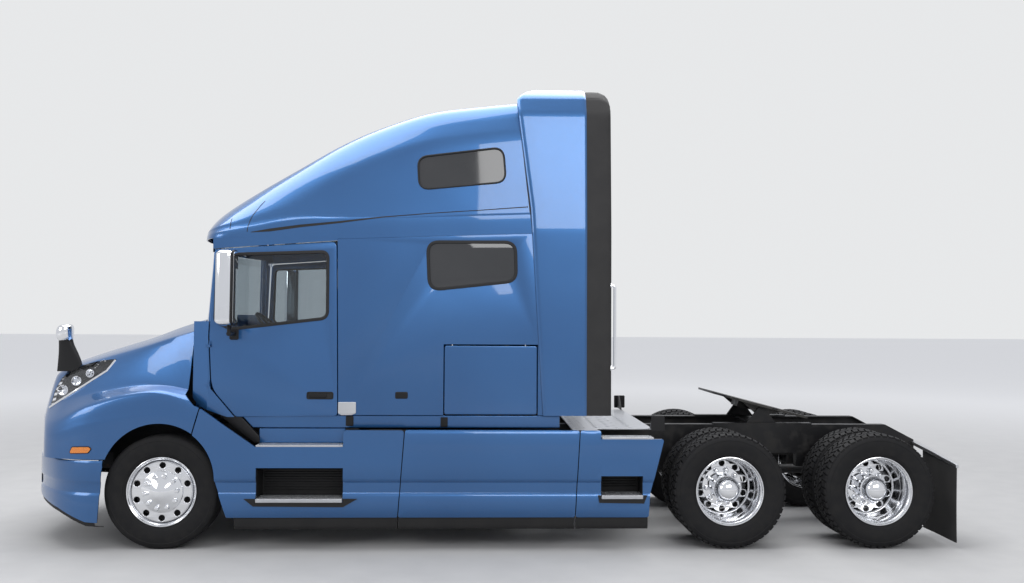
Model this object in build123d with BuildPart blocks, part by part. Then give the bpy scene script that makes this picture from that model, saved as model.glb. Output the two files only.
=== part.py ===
from build123d import *
import math
import os

os.makedirs("parts", exist_ok=True)

# A bonneted road tractor with a high roof sleeper cab, in millimetres.
# X runs rearwards, Y to the truck's right and Z up from the ground.
# A station is a distance behind the front axle.
front_axle_x = -2812.0

# Wheels and axles
wheel_base_to_drive = 4926.0
tandem_spread = 1320.8
steer_tyre_radius = 488.0
drive_tyre_radius = 500.0
tyre_half_width = 138.0
steer_wheel_y = 1032.0
outer_drive_y = 1080.0
dual_spacing = 343.0
rim_seat_radius = 285.75
rim_flange_radius = 298.5
rim_half_width = 118.0
rim_bead_half_width = 105.0
rim_wall = 13.0
seat_gap = 0.3
running_gap = 0.05
hand_hole_radius = 25.0
hand_hole_circle = 215.0
hand_hole_count = 10
steer_spindle_radius = 40.0
drive_spindle_radius = 50.0

# Steering
kingpin_y = 860.0
kingpin_radius = 22.0
kingpin_boss_radius = 45.0
kingpin_boss_half_height = 53.0
yoke_gap = 5.0
yoke_thickness = 40.0
yoke_outer_y = 930.0
steering_arm_length = 230.0
tie_rod_z = 357.0
tie_rod_radius = 17.5
ball_stud_radius = 12.0

# Frame
rail_top = 1000.0
rail_height = 273.0
rail_outer_y = 432.0
rail_flange = 89.0
rail_wall = 9.0
rail_front = -1080.0
rail_rear = 6925.0
rail_taper_start = 6650.0
rail_end_height = 130.0
crossmember_stations = (-1020.0, 1300.0, 2300.0, 3300.0, 4250.0, 5587.0, 6860.0)
crossmember_width = 60.0
crossmember_height = 170.0
crossmember_low_height = 90.0

# Body widths and heights
body_half_width = 1220.0
beyond_body = body_half_width + 180.0
bonnet_spread = body_half_width / 1220.0
cab_half_width = 1120.0
door_thickness = 54.0
cab_wall = 60.0
cab_floor_bottom = 1148.0
cab_floor_top = 1190.0
cowl_top = 1960.0
windshield_top = 2690.0
panel_gap = 8.0
glass_thickness = 6.0
glass_inset = 5.0

# Bonnet
bonnet_bottom = 776.0
bonnet_wall = 30.0
bonnet_wall_ahead = 35.0
cowl_gap = 12.0
bonnet_hinge_station = -1275.0
bonnet_hinge_z = 560.0
bonnet_hinge_y = 360.0
hinge_pin_radius = 12.0
hinge_pin_small = 4.0
door_hinge_station = 385.0
door_hinge_y = 1133.0
door_hinge_heights = (1420.0, 1760.0)
door_hinge_radius = 7.0

# Bumper
bumper_front = -1335.0
bumper_top = 764.0
bumper_wall = 20.0

# Wheel arch of the steered wheels, seen from the side
arch_station = -10.0
arch_centre_z = 600.0
arch_radius = 482.0
arch_foot_front = (-516.0, 200.0)
arch_foot_rear = (604.0, 200.0)

# Side fairings
fairing_wall = 40.0
fairing_top = 1031.0
fairing_bottom = 283.0
skirt_bottom = 181.0
skirt_wall = 12.0

# Fifth wheel
fifth_wheel_station = 5456.0
fifth_wheel_pivot_z = 1130.0
fifth_wheel_rest_tilt = 14.5
kingpin_bore_radius = 25.9
fifth_wheel_pin_radius = 20.0
plate_half_width = 450.0


def side_view(y):
    """The plane of a side view: station across, height up."""
    return Plane((front_axle_x, y, 0), x_dir=(1, 0, 0), z_dir=(0, -1, 0))


def top_view(z):
    """The plane of a plan view: station across, Y up."""
    return Plane((front_axle_x, 0, z), x_dir=(1, 0, 0), z_dir=(0, 0, 1))


def cross_view(station):
    """The plane of a cross section: Y across, height up."""
    return Plane((front_axle_x + station, 0, 0), x_dir=(0, 1, 0), z_dir=(1, 0, 0))


def block(station, width, height, mode=Mode.ADD):
    """A box between two stations, two Y values and two heights."""
    x_mid = front_axle_x + sum(station) / 2
    with Locations((x_mid, sum(width) / 2, sum(height) / 2)):
        return Box(station[1] - station[0], width[1] - width[0], height[1] - height[0], mode=mode)


def side_slab(outline, y_values, mode=Mode.ADD, grow=0):
    """A side view outline, grown by a gap, given thickness between two Y values."""
    with BuildSketch(side_view(max(y_values))) as face:
        with BuildLine():
            Polyline(*outline, close=True)
        make_face()
        if grow:
            offset(amount=grow, kind=Kind.INTERSECTION)
    return extrude(face.sketch, amount=max(y_values) - min(y_values), mode=mode)


def rod(start, end, radius, mode=Mode.ADD):
    """A round bar between two points given as station, Y and height."""
    first = Vector(front_axle_x + start[0], start[1], start[2])
    last = Vector(front_axle_x + end[0], end[1], end[2])
    with BuildSketch(Plane(origin=first, z_dir=last - first)) as disc:
        Circle(radius)
    return extrude(disc.sketch, amount=(last - first).length, mode=mode)


def mirrored_outline(half):
    """A closed cross section from its right half, given from the top down."""
    return list(half) + [(-y, z) for y, z in reversed(half) if y > 0]


def facet_loft(rings, mode=Mode.ADD):
    """A body of flat facets through closed rings of points, the same on both sides."""
    facets = [rings[0], rings[-1]]
    for ring, following in zip(rings, rings[1:]):
        for index, point in enumerate(ring):
            last, after, after_last = ring[index - 1], following[index], following[index - 1]
            if last.Y + point.Y > 0:
                facets += [(last, point, after_last), (point, after, after_last)]
            else:
                facets += [(last, point, after), (last, after, after_last)]
    body = Solid(Shell([Face(Wire.make_polygon(corners)) for corners in facets]))
    return add(body, mode=mode)


def body_loft(sections, mode=Mode.ADD):
    """A body through cross sections: station and the right half of the outline."""
    rings = [[Vector(front_axle_x + station, y, z) for y, z in mirrored_outline(half)] for station, half in sections]
    return facet_loft(rings, mode)


def arch_cut(y_values):
    """Cuts the opening around a steered wheel."""
    rod((arch_station, y_values[0], arch_centre_z), (arch_station, y_values[1], arch_centre_z),
        arch_radius, mode=Mode.SUBTRACT)
    shoulders = [(arch_station - arch_radius, arch_centre_z), arch_foot_front,
                 arch_foot_rear, (arch_station + arch_radius, arch_centre_z)]
    side_slab(shoulders, y_values, mode=Mode.SUBTRACT)


def revolved(station, hub_z, outline):
    """A body turned about a wheel's axle from Y and radius pairs."""
    with BuildSketch(cross_view(station)) as face:
        with BuildLine():
            Polyline(*[(y, hub_z + radius) for y, radius in outline], close=True)
        make_face()
    axle = Axis((front_axle_x + station, 0, hub_z), (0, 1, 0))
    return revolve(face.sketch, axis=axle)


pieces = {}
sides = (("left", -1), ("right", 1))

# Frame rails, crossmembers and what hangs from them
with BuildPart() as frame_rails:
    for sign in (-1, 1):
        rail_outline = [(rail_front, rail_top), (rail_front, rail_top - rail_height),
                        (rail_rear, rail_top - rail_height),
                        (rail_rear, rail_top - rail_height + rail_end_height),
                        (rail_taper_start, rail_top)]
        side_slab(rail_outline, (sign * rail_outer_y, sign * (rail_outer_y - rail_flange)))
        hollow = [sign * (rail_outer_y - rail_wall), sign * (rail_outer_y - rail_flange - 1)]
        hollow_outline = [(rail_front - 1, rail_top - rail_wall),
                          (rail_front - 1, rail_top - rail_height + rail_wall),
                          (rail_rear + 1, rail_top - rail_height + rail_wall),
                          (rail_rear + 1, rail_top - rail_height + rail_end_height - rail_wall),
                          (rail_taper_start, rail_top - rail_wall)]
        side_slab(hollow_outline, hollow, mode=Mode.SUBTRACT)
pieces["frame_rails"] = frame_rails

with BuildPart() as crossmembers:
    for station in crossmember_stations:
        foot = rail_top - rail_height + rail_wall + seat_gap
        height = crossmember_height if station < rail_taper_start else crossmember_low_height
        block((station, station + crossmember_width), (rail_wall - rail_outer_y, rail_outer_y - rail_wall),
              (foot, foot + height))
pieces["crossmembers"] = crossmembers

# Front axle: beam, pads and kingpin bosses with their pins
beam_bottom = 340.0
beam_top = 440.0
beam_half_depth = 45.0
pad_top = 470.0
spring_y = rail_outer_y - rail_flange / 2
spring_half_width = 38.0
gooseneck_y = (740.0, 800.0)
drive_stations = (wheel_base_to_drive, wheel_base_to_drive + tandem_spread)
axle_tube_radius = 75.0
axle_tube_half_length = 598.0
spindle_end_y = 1070.0
gearbox_rear = 1100.0
with BuildPart() as axles:
    block((-beam_half_depth, beam_half_depth), (-gooseneck_y[1], gooseneck_y[1]), (beam_bottom, beam_top))
    for sign in (-1, 1):
        boss_heights = (steer_tyre_radius - kingpin_boss_half_height, steer_tyre_radius + kingpin_boss_half_height)
        block((-beam_half_depth, beam_half_depth), sorted((sign * gooseneck_y[0], sign * gooseneck_y[1])),
              (beam_bottom, boss_heights[1]))
        block((-beam_half_depth, beam_half_depth), sorted((sign * gooseneck_y[1], sign * kingpin_y)), boss_heights)
        rod((0, sign * kingpin_y, boss_heights[0]), (0, sign * kingpin_y, boss_heights[1]), kingpin_boss_radius)
        pin_reach = kingpin_boss_half_height + yoke_gap + yoke_thickness
        rod((0, sign * kingpin_y, steer_tyre_radius - pin_reach),
            (0, sign * kingpin_y, steer_tyre_radius + pin_reach), kingpin_radius)
        block((-70, 70), sorted((sign * (spring_y - spring_half_width), sign * (spring_y + spring_half_width))),
              (beam_top, pad_top))
    for station in drive_stations:
        rod((station, -axle_tube_half_length, drive_tyre_radius), (station, axle_tube_half_length, drive_tyre_radius),
            axle_tube_radius)
        rod((station, -spindle_end_y, drive_tyre_radius), (station, spindle_end_y, drive_tyre_radius),
            drive_spindle_radius)
        with Locations((front_axle_x + station, 0, drive_tyre_radius)):
            Sphere(205)
        for sign in (-1, 1):
            block((station - 50, station + 50),
                  sorted((sign * (spring_y - spring_half_width), sign * (spring_y + spring_half_width))),
                  (drive_tyre_radius + 30, 576))
    rod((gearbox_rear, 0, 660), (gearbox_rear + 60, 0, 660), 65)
    rod((gearbox_rear + 40, 0, 660), (drive_stations[0] - 190, 0, 520), 48)
    rod((drive_stations[0] + 190, 0, 510), (drive_stations[1] - 190, 0, 510), 45)
pieces["axles"] = axles

# Front leaf springs and the hangers that carry their eyes
spring_half_length = 700.0
spring_rise = 150.0
spring_thickness = 45.0
air_spring_offset = 330.0
air_spring_bottom = 600.0
rail_bottom = rail_top - rail_height
with BuildPart() as springs_and_arms:
    for sign in (-1, 1):
        y_values = (sign * (spring_y - spring_half_width), sign * (spring_y + spring_half_width))
        with BuildSketch(side_view(max(y_values))) as leaf:
            with BuildLine():
                lower = ThreePointArc((-spring_half_length, pad_top + spring_rise), (0, pad_top),
                                      (spring_half_length, pad_top + spring_rise))
                upper = ThreePointArc((-spring_half_length, pad_top + spring_rise + spring_thickness),
                                      (0, pad_top + spring_thickness),
                                      (spring_half_length, pad_top + spring_rise + spring_thickness))
                Line(lower @ 0, upper @ 0)
                Line(lower @ 1, upper @ 1)
            make_face()
        extrude(leaf.sketch, amount=abs(y_values[1] - y_values[0]))
        block((-70, 70), sorted(y_values), (pad_top, pad_top + spring_thickness))
    for station in drive_stations:
        for sign in (-1, 1):
            outline = [(station - 470, rail_bottom), (station - 470, 600), (station - 60, 576),
                       (station + 460, 576), (station + 460, air_spring_bottom), (station + 200, air_spring_bottom),
                       (station + 60, 606),
                       (station - 380, 640), (station - 380, rail_bottom)]
            side_slab(outline, (sign * (spring_y - spring_half_width), sign * (spring_y + spring_half_width)))
pieces["springs_and_arms"] = springs_and_arms

# Engine with gearbox, one plain block, and the radiator ahead of it
with BuildPart() as engine:
    block((-880, 0), (-300, 300), (560, 1500))
    block((0, gearbox_rear), (-200, 200), (620, 1010))
    for station in (-700, -100):
        for sign in (-1, 1):
            block((station, station + 80), sorted((sign * 300, sign * (rail_outer_y - rail_wall))), (900, 990))
pieces["engine"] = engine

with BuildPart() as radiator:
    block((-1050, -960), (-400, 400), (rail_top, 1480))
pieces["radiator"] = radiator

# Drive axles, their springs and arms, and the drive shafts
with BuildPart() as air_springs:
    for station in drive_stations:
        for sign in (-1, 1):
            place = (station + air_spring_offset, sign * spring_y)
            rod((*place, air_spring_bottom), (*place, rail_bottom), 118)
pieces["air_springs"] = air_springs

# Tyres: one rounded outline of offset from the middle and radius


def tyre_outline(centre_y, tyre_radius):
    bead = rim_bead_half_width - seat_gap
    half = [(bead, rim_seat_radius + seat_gap), (bead, rim_flange_radius + 1), (tyre_half_width, 385),
            (tyre_half_width, 425), (tyre_half_width - 14, tyre_radius - 12), (tyre_half_width - 32, tyre_radius)]
    both = half + [(-offset, radius) for offset, radius in reversed(half)]
    return [(centre_y + offset, radius) for offset, radius in both]


def rim_barrel(station, hub_z, centre_y):
    """A rim's barrel with its two flanges."""
    inner = rim_seat_radius - rim_wall
    half = [(rim_bead_half_width, rim_seat_radius), (rim_bead_half_width, rim_flange_radius),
            (rim_half_width, rim_flange_radius), (rim_half_width, inner)]
    both = half + [(-offset, radius) for offset, radius in reversed(half)]
    revolved(station, hub_z, [(centre_y + offset, radius) for offset, radius in both])


def ring(station, hub_z, y_values, radii):
    """A turned ring between two Y values and two radii."""
    corners = [(y_values[0], radii[0]), (y_values[1], radii[0]), (y_values[1], radii[1]), (y_values[0], radii[1])]
    revolved(station, hub_z, corners)


def hand_holes(station, hub_z, y_values):
    """Cuts the round openings in a wheel's disc."""
    for index in range(hand_hole_count):
        angle = 2 * math.pi * (index + 0.5) / hand_hole_count
        place_x = station + hand_hole_circle * math.cos(angle)
        place_z = hub_z + hand_hole_circle * math.sin(angle)
        rod((place_x, y_values[0], place_z), (place_x, y_values[1], place_z), hand_hole_radius, mode=Mode.SUBTRACT)


steer_disc = (80.0, 98.0)
drum_radii = (188.0, 205.0)
steer_hub_radius = 110.0
steer_cap_radius = 95.0
for side, sign in sides:
    centre_y = sign * steer_wheel_y
    with BuildPart() as tyre:
        revolved(0, steer_tyre_radius, tyre_outline(centre_y, steer_tyre_radius))
    pieces[side + "_steer_tyre"] = tyre
    with BuildPart() as wheel:
        rim_barrel(0, steer_tyre_radius, centre_y)
        disc_y = (centre_y + sign * steer_disc[0], centre_y + sign * steer_disc[1])
        ring(0, steer_tyre_radius, disc_y, (steer_hub_radius, rim_seat_radius - rim_wall))
        bore_end = centre_y + sign * (steer_disc[1] + 20)
        ring(0, steer_tyre_radius, (centre_y - sign * 55, bore_end),
             (steer_spindle_radius + running_gap, steer_hub_radius))
        ring(0, steer_tyre_radius, (bore_end, centre_y + sign * 168), (0, steer_cap_radius))
        ring(0, steer_tyre_radius, (centre_y - sign * 92, centre_y + sign * 20), drum_radii)
        ring(0, steer_tyre_radius, (centre_y + sign * 5, centre_y + sign * 20), (steer_hub_radius, drum_radii[0]))
        hand_holes(0, steer_tyre_radius, (disc_y[0] - sign, disc_y[1] + sign))
    pieces[side + "_steer_wheel"] = wheel
    with BuildPart() as knuckle:
        low_arm = steer_tyre_radius - kingpin_boss_half_height - yoke_gap
        high_arm = steer_tyre_radius + kingpin_boss_half_height + yoke_gap
        for arm in ((low_arm - yoke_thickness, low_arm), (high_arm, high_arm + yoke_thickness)):
            rod((0, sign * kingpin_y, arm[0]), (0, sign * kingpin_y, arm[1]), kingpin_boss_radius)
            block((-45, 45), sorted((sign * kingpin_y, sign * yoke_outer_y)), arm)
        block((-45, 45), sorted((sign * (kingpin_y + kingpin_boss_radius + yoke_gap), sign * yoke_outer_y)),
              (low_arm - yoke_thickness, high_arm + yoke_thickness))
        rod((0, sign * yoke_outer_y, steer_tyre_radius), (0, bore_end - sign * 1, steer_tyre_radius),
            steer_spindle_radius)
        arm_z = (low_arm - yoke_thickness, low_arm - yoke_thickness + 30)
        block((0, steering_arm_length), sorted((sign * (kingpin_y - 15), sign * (kingpin_y + 15))), arm_z)
        rod((steering_arm_length, sign * kingpin_y, arm_z[0]), (steering_arm_length, sign * kingpin_y, arm_z[1]), 24)
        rod((steering_arm_length, sign * kingpin_y, arm_z[0] - 1), (steering_arm_length, sign * kingpin_y, arm_z[1] + 1),
            ball_stud_radius + running_gap, mode=Mode.SUBTRACT)
        rod((0, sign * kingpin_y, arm_z[0] - 1), (0, sign * kingpin_y, high_arm + yoke_thickness + 1),
            kingpin_radius + running_gap, mode=Mode.SUBTRACT)
    pieces[side + "_steering_knuckle"] = knuckle

with BuildPart() as tie_rod:
    rod((steering_arm_length, -kingpin_y, tie_rod_z), (steering_arm_length, kingpin_y, tie_rod_z), tie_rod_radius)
    for sign in (-1, 1):
        rod((steering_arm_length, sign * kingpin_y, tie_rod_z - 24), (steering_arm_length, sign * kingpin_y, 385), 24)
        rod((steering_arm_length, sign * kingpin_y, 385), (steering_arm_length, sign * kingpin_y, 424),
            ball_stud_radius)
pieces["tie_rod"] = tie_rod

inner_drive_y = outer_drive_y - dual_spacing
mating_y = (outer_drive_y + inner_drive_y) / 2
disc_half = 11.0
drive_hub_radius = 125.0
hub_cap_radius = 92.0
hub_cap_end = 1192.0
for name, station in zip(("front", "rear"), drive_stations):
    for side, sign in sides:
        with BuildPart() as tyres:
            for centre in (outer_drive_y, inner_drive_y):
                revolved(station, drive_tyre_radius, tyre_outline(sign * centre, drive_tyre_radius))
        pieces[f"{name}_{side}_drive_tyres"] = tyres
        with BuildPart() as wheels:
            for centre in (outer_drive_y, inner_drive_y):
                rim_barrel(station, drive_tyre_radius, sign * centre)
            ring(station, drive_tyre_radius, (sign * (mating_y - disc_half), sign * (mating_y + disc_half)),
                 (drive_hub_radius, 245))
            cone = [(mating_y, 232), (mating_y + disc_half, 232),
                    (outer_drive_y - rim_bead_half_width + 30, rim_seat_radius - rim_wall),
                    (outer_drive_y - rim_bead_half_width, rim_seat_radius - rim_wall)]
            revolved(station, drive_tyre_radius, [(sign * y, radius) for y, radius in cone])
            cone = [(2 * mating_y - y, radius) for y, radius in cone]
            revolved(station, drive_tyre_radius, [(sign * y, radius) for y, radius in cone])
            ring(station, drive_tyre_radius, (sign * 640, sign * (spindle_end_y + 2)),
                 (drive_spindle_radius + running_gap, drive_hub_radius))
            ring(station, drive_tyre_radius, (sign * (spindle_end_y + 2), sign * hub_cap_end), (0, hub_cap_radius))
            ring(station, drive_tyre_radius, (sign * 640, sign * 860), drum_radii)
            ring(station, drive_tyre_radius, (sign * 845, sign * 860), (drive_hub_radius, drum_radii[0]))
            hand_holes(station, drive_tyre_radius, (sign * (mating_y - disc_half - 1), sign * (mating_y + disc_half + 1)))
        pieces[f"{name}_{side}_drive_wheels"] = wheels

# Bonnet: cross sections from the nose to the cowl.
# Columns: station, crown z, deck y, deck z, shoulder y, shoulder z,
# fender inner y, fender inner z, fender outer y, fender outer z, foot y
bonnet_table = [
    (-1325, 1000, 250, 1000, 380, 980, 420, 940, 450, 900, 460),
    (-1290, 1180, 380, 1175, 560, 1120, 620, 1040, 650, 980, 660),
    (-1240, 1370, 430, 1360, 620, 1300, 720, 1130, 770, 1010, 790),
    (-1160, 1500, 450, 1490, 650, 1440, 800, 1180, 890, 1040, 915),
    (-1060, 1575, 470, 1560, 700, 1500, 880, 1215, 1010, 1060, 1040),
    (-900, 1640, 490, 1620, 750, 1550, 970, 1260, 1120, 1100, 1150),
    (-650, 1725, 520, 1700, 810, 1625, 1020, 1330, 1190, 1215, 1215),
    (-300, 1835, 570, 1805, 890, 1720, 1045, 1390, 1205, 1320, 1220),
    (0, 1945, 610, 1915, 960, 1810, 1060, 1400, 1210, 1345, 1220),
    (330, 2055, 660, 2015, 1050, 1900, 1090, 1350, 1210, 1235, 1220),
]


def bonnet_sections(inset, ahead, bottom):
    """The bonnet's cross sections, drawn in by a wall on every side but below."""
    sections = []
    for row in bonnet_table:
        station, crown_z, *pairs = row
        foot_y = pairs.pop()
        half = [(0, crown_z - inset)]
        half += [(y * bonnet_spread - inset, z - inset) for y, z in zip(pairs[0::2], pairs[1::2])]
        half += [(foot_y * bonnet_spread - inset, bottom), (0, bottom)]
        sections.append((station + ahead, half))
    return sections


def cowl_outline(grow):
    """The cab's front in plan below the windshield, with its back left open behind the doors."""
    corner = (232.0 - grow, 1080.0 + grow)
    rear = (369.0, cab_half_width + grow)
    back = 700.0
    front = 140.0 - grow
    return front, corner, rear, back


def cowl_face(grow, z):
    front, corner, rear, back = cowl_outline(grow)
    with BuildSketch(top_view(z)) as face:
        with BuildLine():
            ThreePointArc((corner[0], -corner[1]), (front, 0), corner)
            Polyline(corner, rear, (back, rear[1]), (back, -rear[1]), (rear[0], -rear[1]), (corner[0], -corner[1]))
        make_face()
    return face.sketch


# Side view of the bonnet's rear edge, then far behind it
bonnet_rear_cut = [(235, 2200), (228, 1925), (190, 1326), (279, 1235), (325, 1215), (268, 1006),
                   (268, 700), (900, 700), (900, 2200)]
grille_half_width = 500.0
grille_heights = (810.0, 1420.0)
grille_rear = -1120.0
lower_grille_bottom = 622.0
running_clearance = 6.0
lamp_outline = [(-1130, 1195), (-1057, 1375), (-520, 1615), (-560, 1540), (-790, 1362)]
lamp_y = (560.0, 1300.0)

with BuildPart() as bonnet_shell:
    body_loft(bonnet_sections(0, 0, bonnet_bottom))
    body_loft(bonnet_sections(bonnet_wall, bonnet_wall_ahead, bonnet_bottom - 60), mode=Mode.SUBTRACT)
    extrude(cowl_face(cowl_gap, 700), amount=1500, mode=Mode.SUBTRACT)
    side_slab(bonnet_rear_cut, (-beyond_body, beyond_body), mode=Mode.SUBTRACT)
    arch_cut((-beyond_body, beyond_body))

with BuildPart() as bonnet:
    add(bonnet_shell.part)
    block((-1400, grille_rear), (-grille_half_width, grille_half_width), grille_heights, mode=Mode.SUBTRACT)
    for sign in (-1, 1):
        side_slab(lamp_outline, (sign * lamp_y[0], sign * lamp_y[1]), mode=Mode.SUBTRACT)
pieces["bonnet"] = bonnet

# Bumper: a bent shell, its lower edge sloping up to the front, with a notch for the bonnet's grille


def bumper_plan(inset):
    arc_end = (bumper_front + 40 + inset, body_half_width - 620)
    corner = (bumper_front + 195 + inset, body_half_width - 250 - inset)
    flank = (bumper_front + 635, body_half_width - 5 - inset)
    return arc_end, corner, flank


def bumper_face(inset, z):
    arc_end, corner, flank = bumper_plan(inset)
    back = -480.0 if inset == 0 else -400.0
    with BuildSketch(top_view(z)) as face:
        with BuildLine():
            ThreePointArc((arc_end[0], -arc_end[1]), (bumper_front + inset, 0), arc_end)
            ThreePointArc(arc_end, corner, flank)
            Polyline(flank, (back, flank[1]), (back, -flank[1]), (flank[0], -flank[1]))
            ThreePointArc((flank[0], -flank[1]), (corner[0], -corner[1]), (arc_end[0], -arc_end[1]))
        make_face()
    return face.sketch


bumper_side = [(-1323, bumper_top), (bumper_front, bumper_top - 12), (bumper_front, 470), (-1180, 400),
               (-900, 345), (-620, 245), (-470, 236), (-470, bumper_top)]
bumper_notch_half = 430.0
bumper_notch_bottom = 530.0
with BuildPart() as bumper_shell:
    extrude(bumper_face(0, 200), amount=bumper_top - 200)
    side_slab(bumper_side, (-beyond_body, beyond_body), mode=Mode.INTERSECT)
    extrude(bumper_face(bumper_wall, 100), amount=900, mode=Mode.SUBTRACT)
    arch_cut((-beyond_body, beyond_body))

with BuildPart() as bumper:
    add(bumper_shell.part)
    block((-1400, -1200), (-bumper_notch_half, bumper_notch_half), (bumper_notch_bottom, bumper_top + 10),
          mode=Mode.SUBTRACT)
pieces["bumper"] = bumper

# A flat screen behind the notch, between the two bumper arms
bumper_arm_y = (380.0, 410.0)
with BuildPart() as bumper_grille:
    block((-1235, -1225), (seat_gap - bumper_arm_y[0], bumper_arm_y[0] - seat_gap), (500, 690))
pieces["bumper_grille"] = bumper_grille

with BuildPart() as grille:
    add(bonnet_shell.part)
    block((-1400, grille_rear), (seat_gap - grille_half_width, grille_half_width - seat_gap),
          (grille_heights[0] + seat_gap, grille_heights[1] - seat_gap), mode=Mode.INTERSECT)
    with BuildPart() as lower_grille:
        add(bumper_shell.part)
        block((-1400, -1200), (running_clearance - bumper_notch_half, bumper_notch_half - running_clearance),
              (lower_grille_bottom, bumper_top), mode=Mode.INTERSECT)
    add(lower_grille.part)
    for sign in (-1, 1):
        arm_values = (sign * (bonnet_hinge_y - 15), sign * (bonnet_hinge_y + 15))
        side_slab([(-1296, 900), (-1296, 815), (-1288, 815), (-1288, 770), (-1310, bumper_top - 2),
                   (-1310, lower_grille_bottom + 10), (-1290, bonnet_hinge_z), (-1255, bonnet_hinge_z),
                   (-1240, 900)], arm_values)
        rod((bonnet_hinge_station, arm_values[0], bonnet_hinge_z), (bonnet_hinge_station, arm_values[1], bonnet_hinge_z),
            21)
        rod((bonnet_hinge_station, arm_values[0] - sign, bonnet_hinge_z),
            (bonnet_hinge_station, arm_values[1] + sign, bonnet_hinge_z), hinge_pin_radius + running_gap,
            mode=Mode.SUBTRACT)
pieces["grille"] = grille

with BuildPart() as lamp_zone:
    for sign in (-1, 1):
        side_slab(lamp_outline, (sign * lamp_y[0], sign * lamp_y[1]), grow=-seat_gap)

with BuildPart() as headlamps:
    add(bonnet_shell.part)
    add(lamp_zone.part, mode=Mode.INTERSECT)
pieces["headlamps"] = headlamps

# Bonnet mirror on the driver's side: a wide stalk and a head
mirror_y = (-790.0, -700.0)
with BuildPart() as bonnet_mirror:
    side_slab([(-1080, 1470), (-1075, 1790), (-955, 1790), (-880, 1660), (-880, 1540)], mirror_y)
    side_slab([(-1090, 1785), (-1095, 1860), (-1060, 1920), (-985, 1925), (-945, 1880), (-950, 1785)],
              (mirror_y[0] - 40, mirror_y[1] + 40))
    add(bonnet_shell.part, mode=Mode.SUBTRACT)
    keep = bonnet_mirror.part.solids().sort_by(SortBy.VOLUME)[-1]
    add(keep, mode=Mode.REPLACE)
pieces["bonnet_mirror"] = bonnet_mirror

# Cab front: cowl, firewall, windshield frame and door posts
door_outline = [(407, 2589), (375, 1834), (402, 1378), (615, 1130), (1494, 1140), (1469, 2667)]


front_facets = 6


def post_ring(inset, z, front, corner, rear_y):
    """The windshield frame in plan at one height, its front a flat parabola."""
    corner_x, corner_y = corner[0] + inset, corner[1] - inset
    shares = [step / front_facets for step in range(-front_facets, front_facets + 1)]
    curve = [(front + inset + (corner_x - front - inset) * share ** 2, corner_y * share) for share in shares]
    ring_points = curve + [(post_back, rear_y - inset), (post_back, inset - rear_y)]
    return [Vector(front_axle_x + station, y, z) for station, y in ring_points]


# Columns: height, front station at the middle, station and Y of the corner, Y at the rear
windshield_frame = [(cowl_top, 150, (350, 1060), 1114), (windshield_top, 215, (395, 1030), 1100)]
post_back = 700.0
post_wall = 45.0
windshield_view = [(930, 2030), (860, 2620), (-860, 2620), (-930, 2030)]
windshield_set_in = 20.0


def frame_rings(inset, spare):
    """The frame's outline at its foot and head, drawn out above and below to cut with."""
    (low_z, *low), (high_z, *high) = windshield_frame
    return [post_ring(inset, low_z - spare, *low), post_ring(inset, high_z + spare, *high)]


def windshield_opening(margin, mode):
    with BuildSketch(cross_view(0)) as face:
        with BuildLine():
            Polyline(*windshield_view, close=True)
        make_face()
        if margin:
            offset(amount=-margin, kind=Kind.INTERSECTION)
    return extrude(face.sketch, amount=post_back, mode=mode)


with BuildPart() as windshield_posts:
    facet_loft(frame_rings(0, 0))
    facet_loft(frame_rings(post_wall, 5), mode=Mode.SUBTRACT)
    windshield_opening(0, Mode.SUBTRACT)

quarter_cut = [(100, 1335), (195, 1335), (290, 1228), (369, 1190), (369, 1100), (100, 1100)]
with BuildPart() as cab_front:
    extrude(cowl_face(0, cab_floor_top), amount=cowl_top - cab_floor_top)
    extrude(cowl_face(-post_wall, cab_floor_top - 5), amount=cowl_top - cab_floor_top + 10, mode=Mode.SUBTRACT)
    add(windshield_posts.part)
    for sign in (-1, 1):
        slab_y = (sign * (cab_half_width - cab_wall), sign * cab_half_width)
        side_slab([(369, 1190), (540, 1130), (640, 1130), (640, 1190)], slab_y)
        side_slab([(398, 2560), (398, windshield_top), (1477, windshield_top), (1477, 2560)], slab_y)
        cut_y = (sign * 900, sign * 1200)
        side_slab(door_outline, cut_y, mode=Mode.SUBTRACT, grow=panel_gap)
        side_slab(quarter_cut, cut_y, mode=Mode.SUBTRACT)
        for height in door_hinge_heights:
            block((350, door_hinge_station), sorted((sign * 1100, sign * door_hinge_y)), (height - 25, height - 1))
            rod((door_hinge_station, sign * door_hinge_y, height - 25),
                (door_hinge_station, sign * door_hinge_y, height - 1), door_hinge_radius)
            rod((door_hinge_station, sign * door_hinge_y, height - 25),
                (door_hinge_station, sign * door_hinge_y, height + 25), hinge_pin_small)
        side_slab(door_outline, (sign * 1000, sign * (cab_half_width + 0.5)), mode=Mode.SUBTRACT, grow=5)
pieces["cab_front"] = cab_front

with BuildPart() as windshield:
    facet_loft(frame_rings(windshield_set_in, 0))
    facet_loft(frame_rings(windshield_set_in + glass_thickness, 5), mode=Mode.SUBTRACT)
    windshield_opening(seat_gap, Mode.INTERSECT)

with BuildPart() as cab_floor:
    extrude(cowl_face(-post_wall - seat_gap, cab_floor_bottom), amount=cab_floor_top - cab_floor_bottom)
    block((0, 369), (-cab_half_width, cab_half_width), (cab_floor_bottom, cab_floor_top), mode=Mode.INTERSECT)
    block((369, 3440), (cab_wall - cab_half_width, cab_half_width - cab_wall), (cab_floor_bottom, cab_floor_top))
pieces["cab_floor"] = cab_floor

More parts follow.
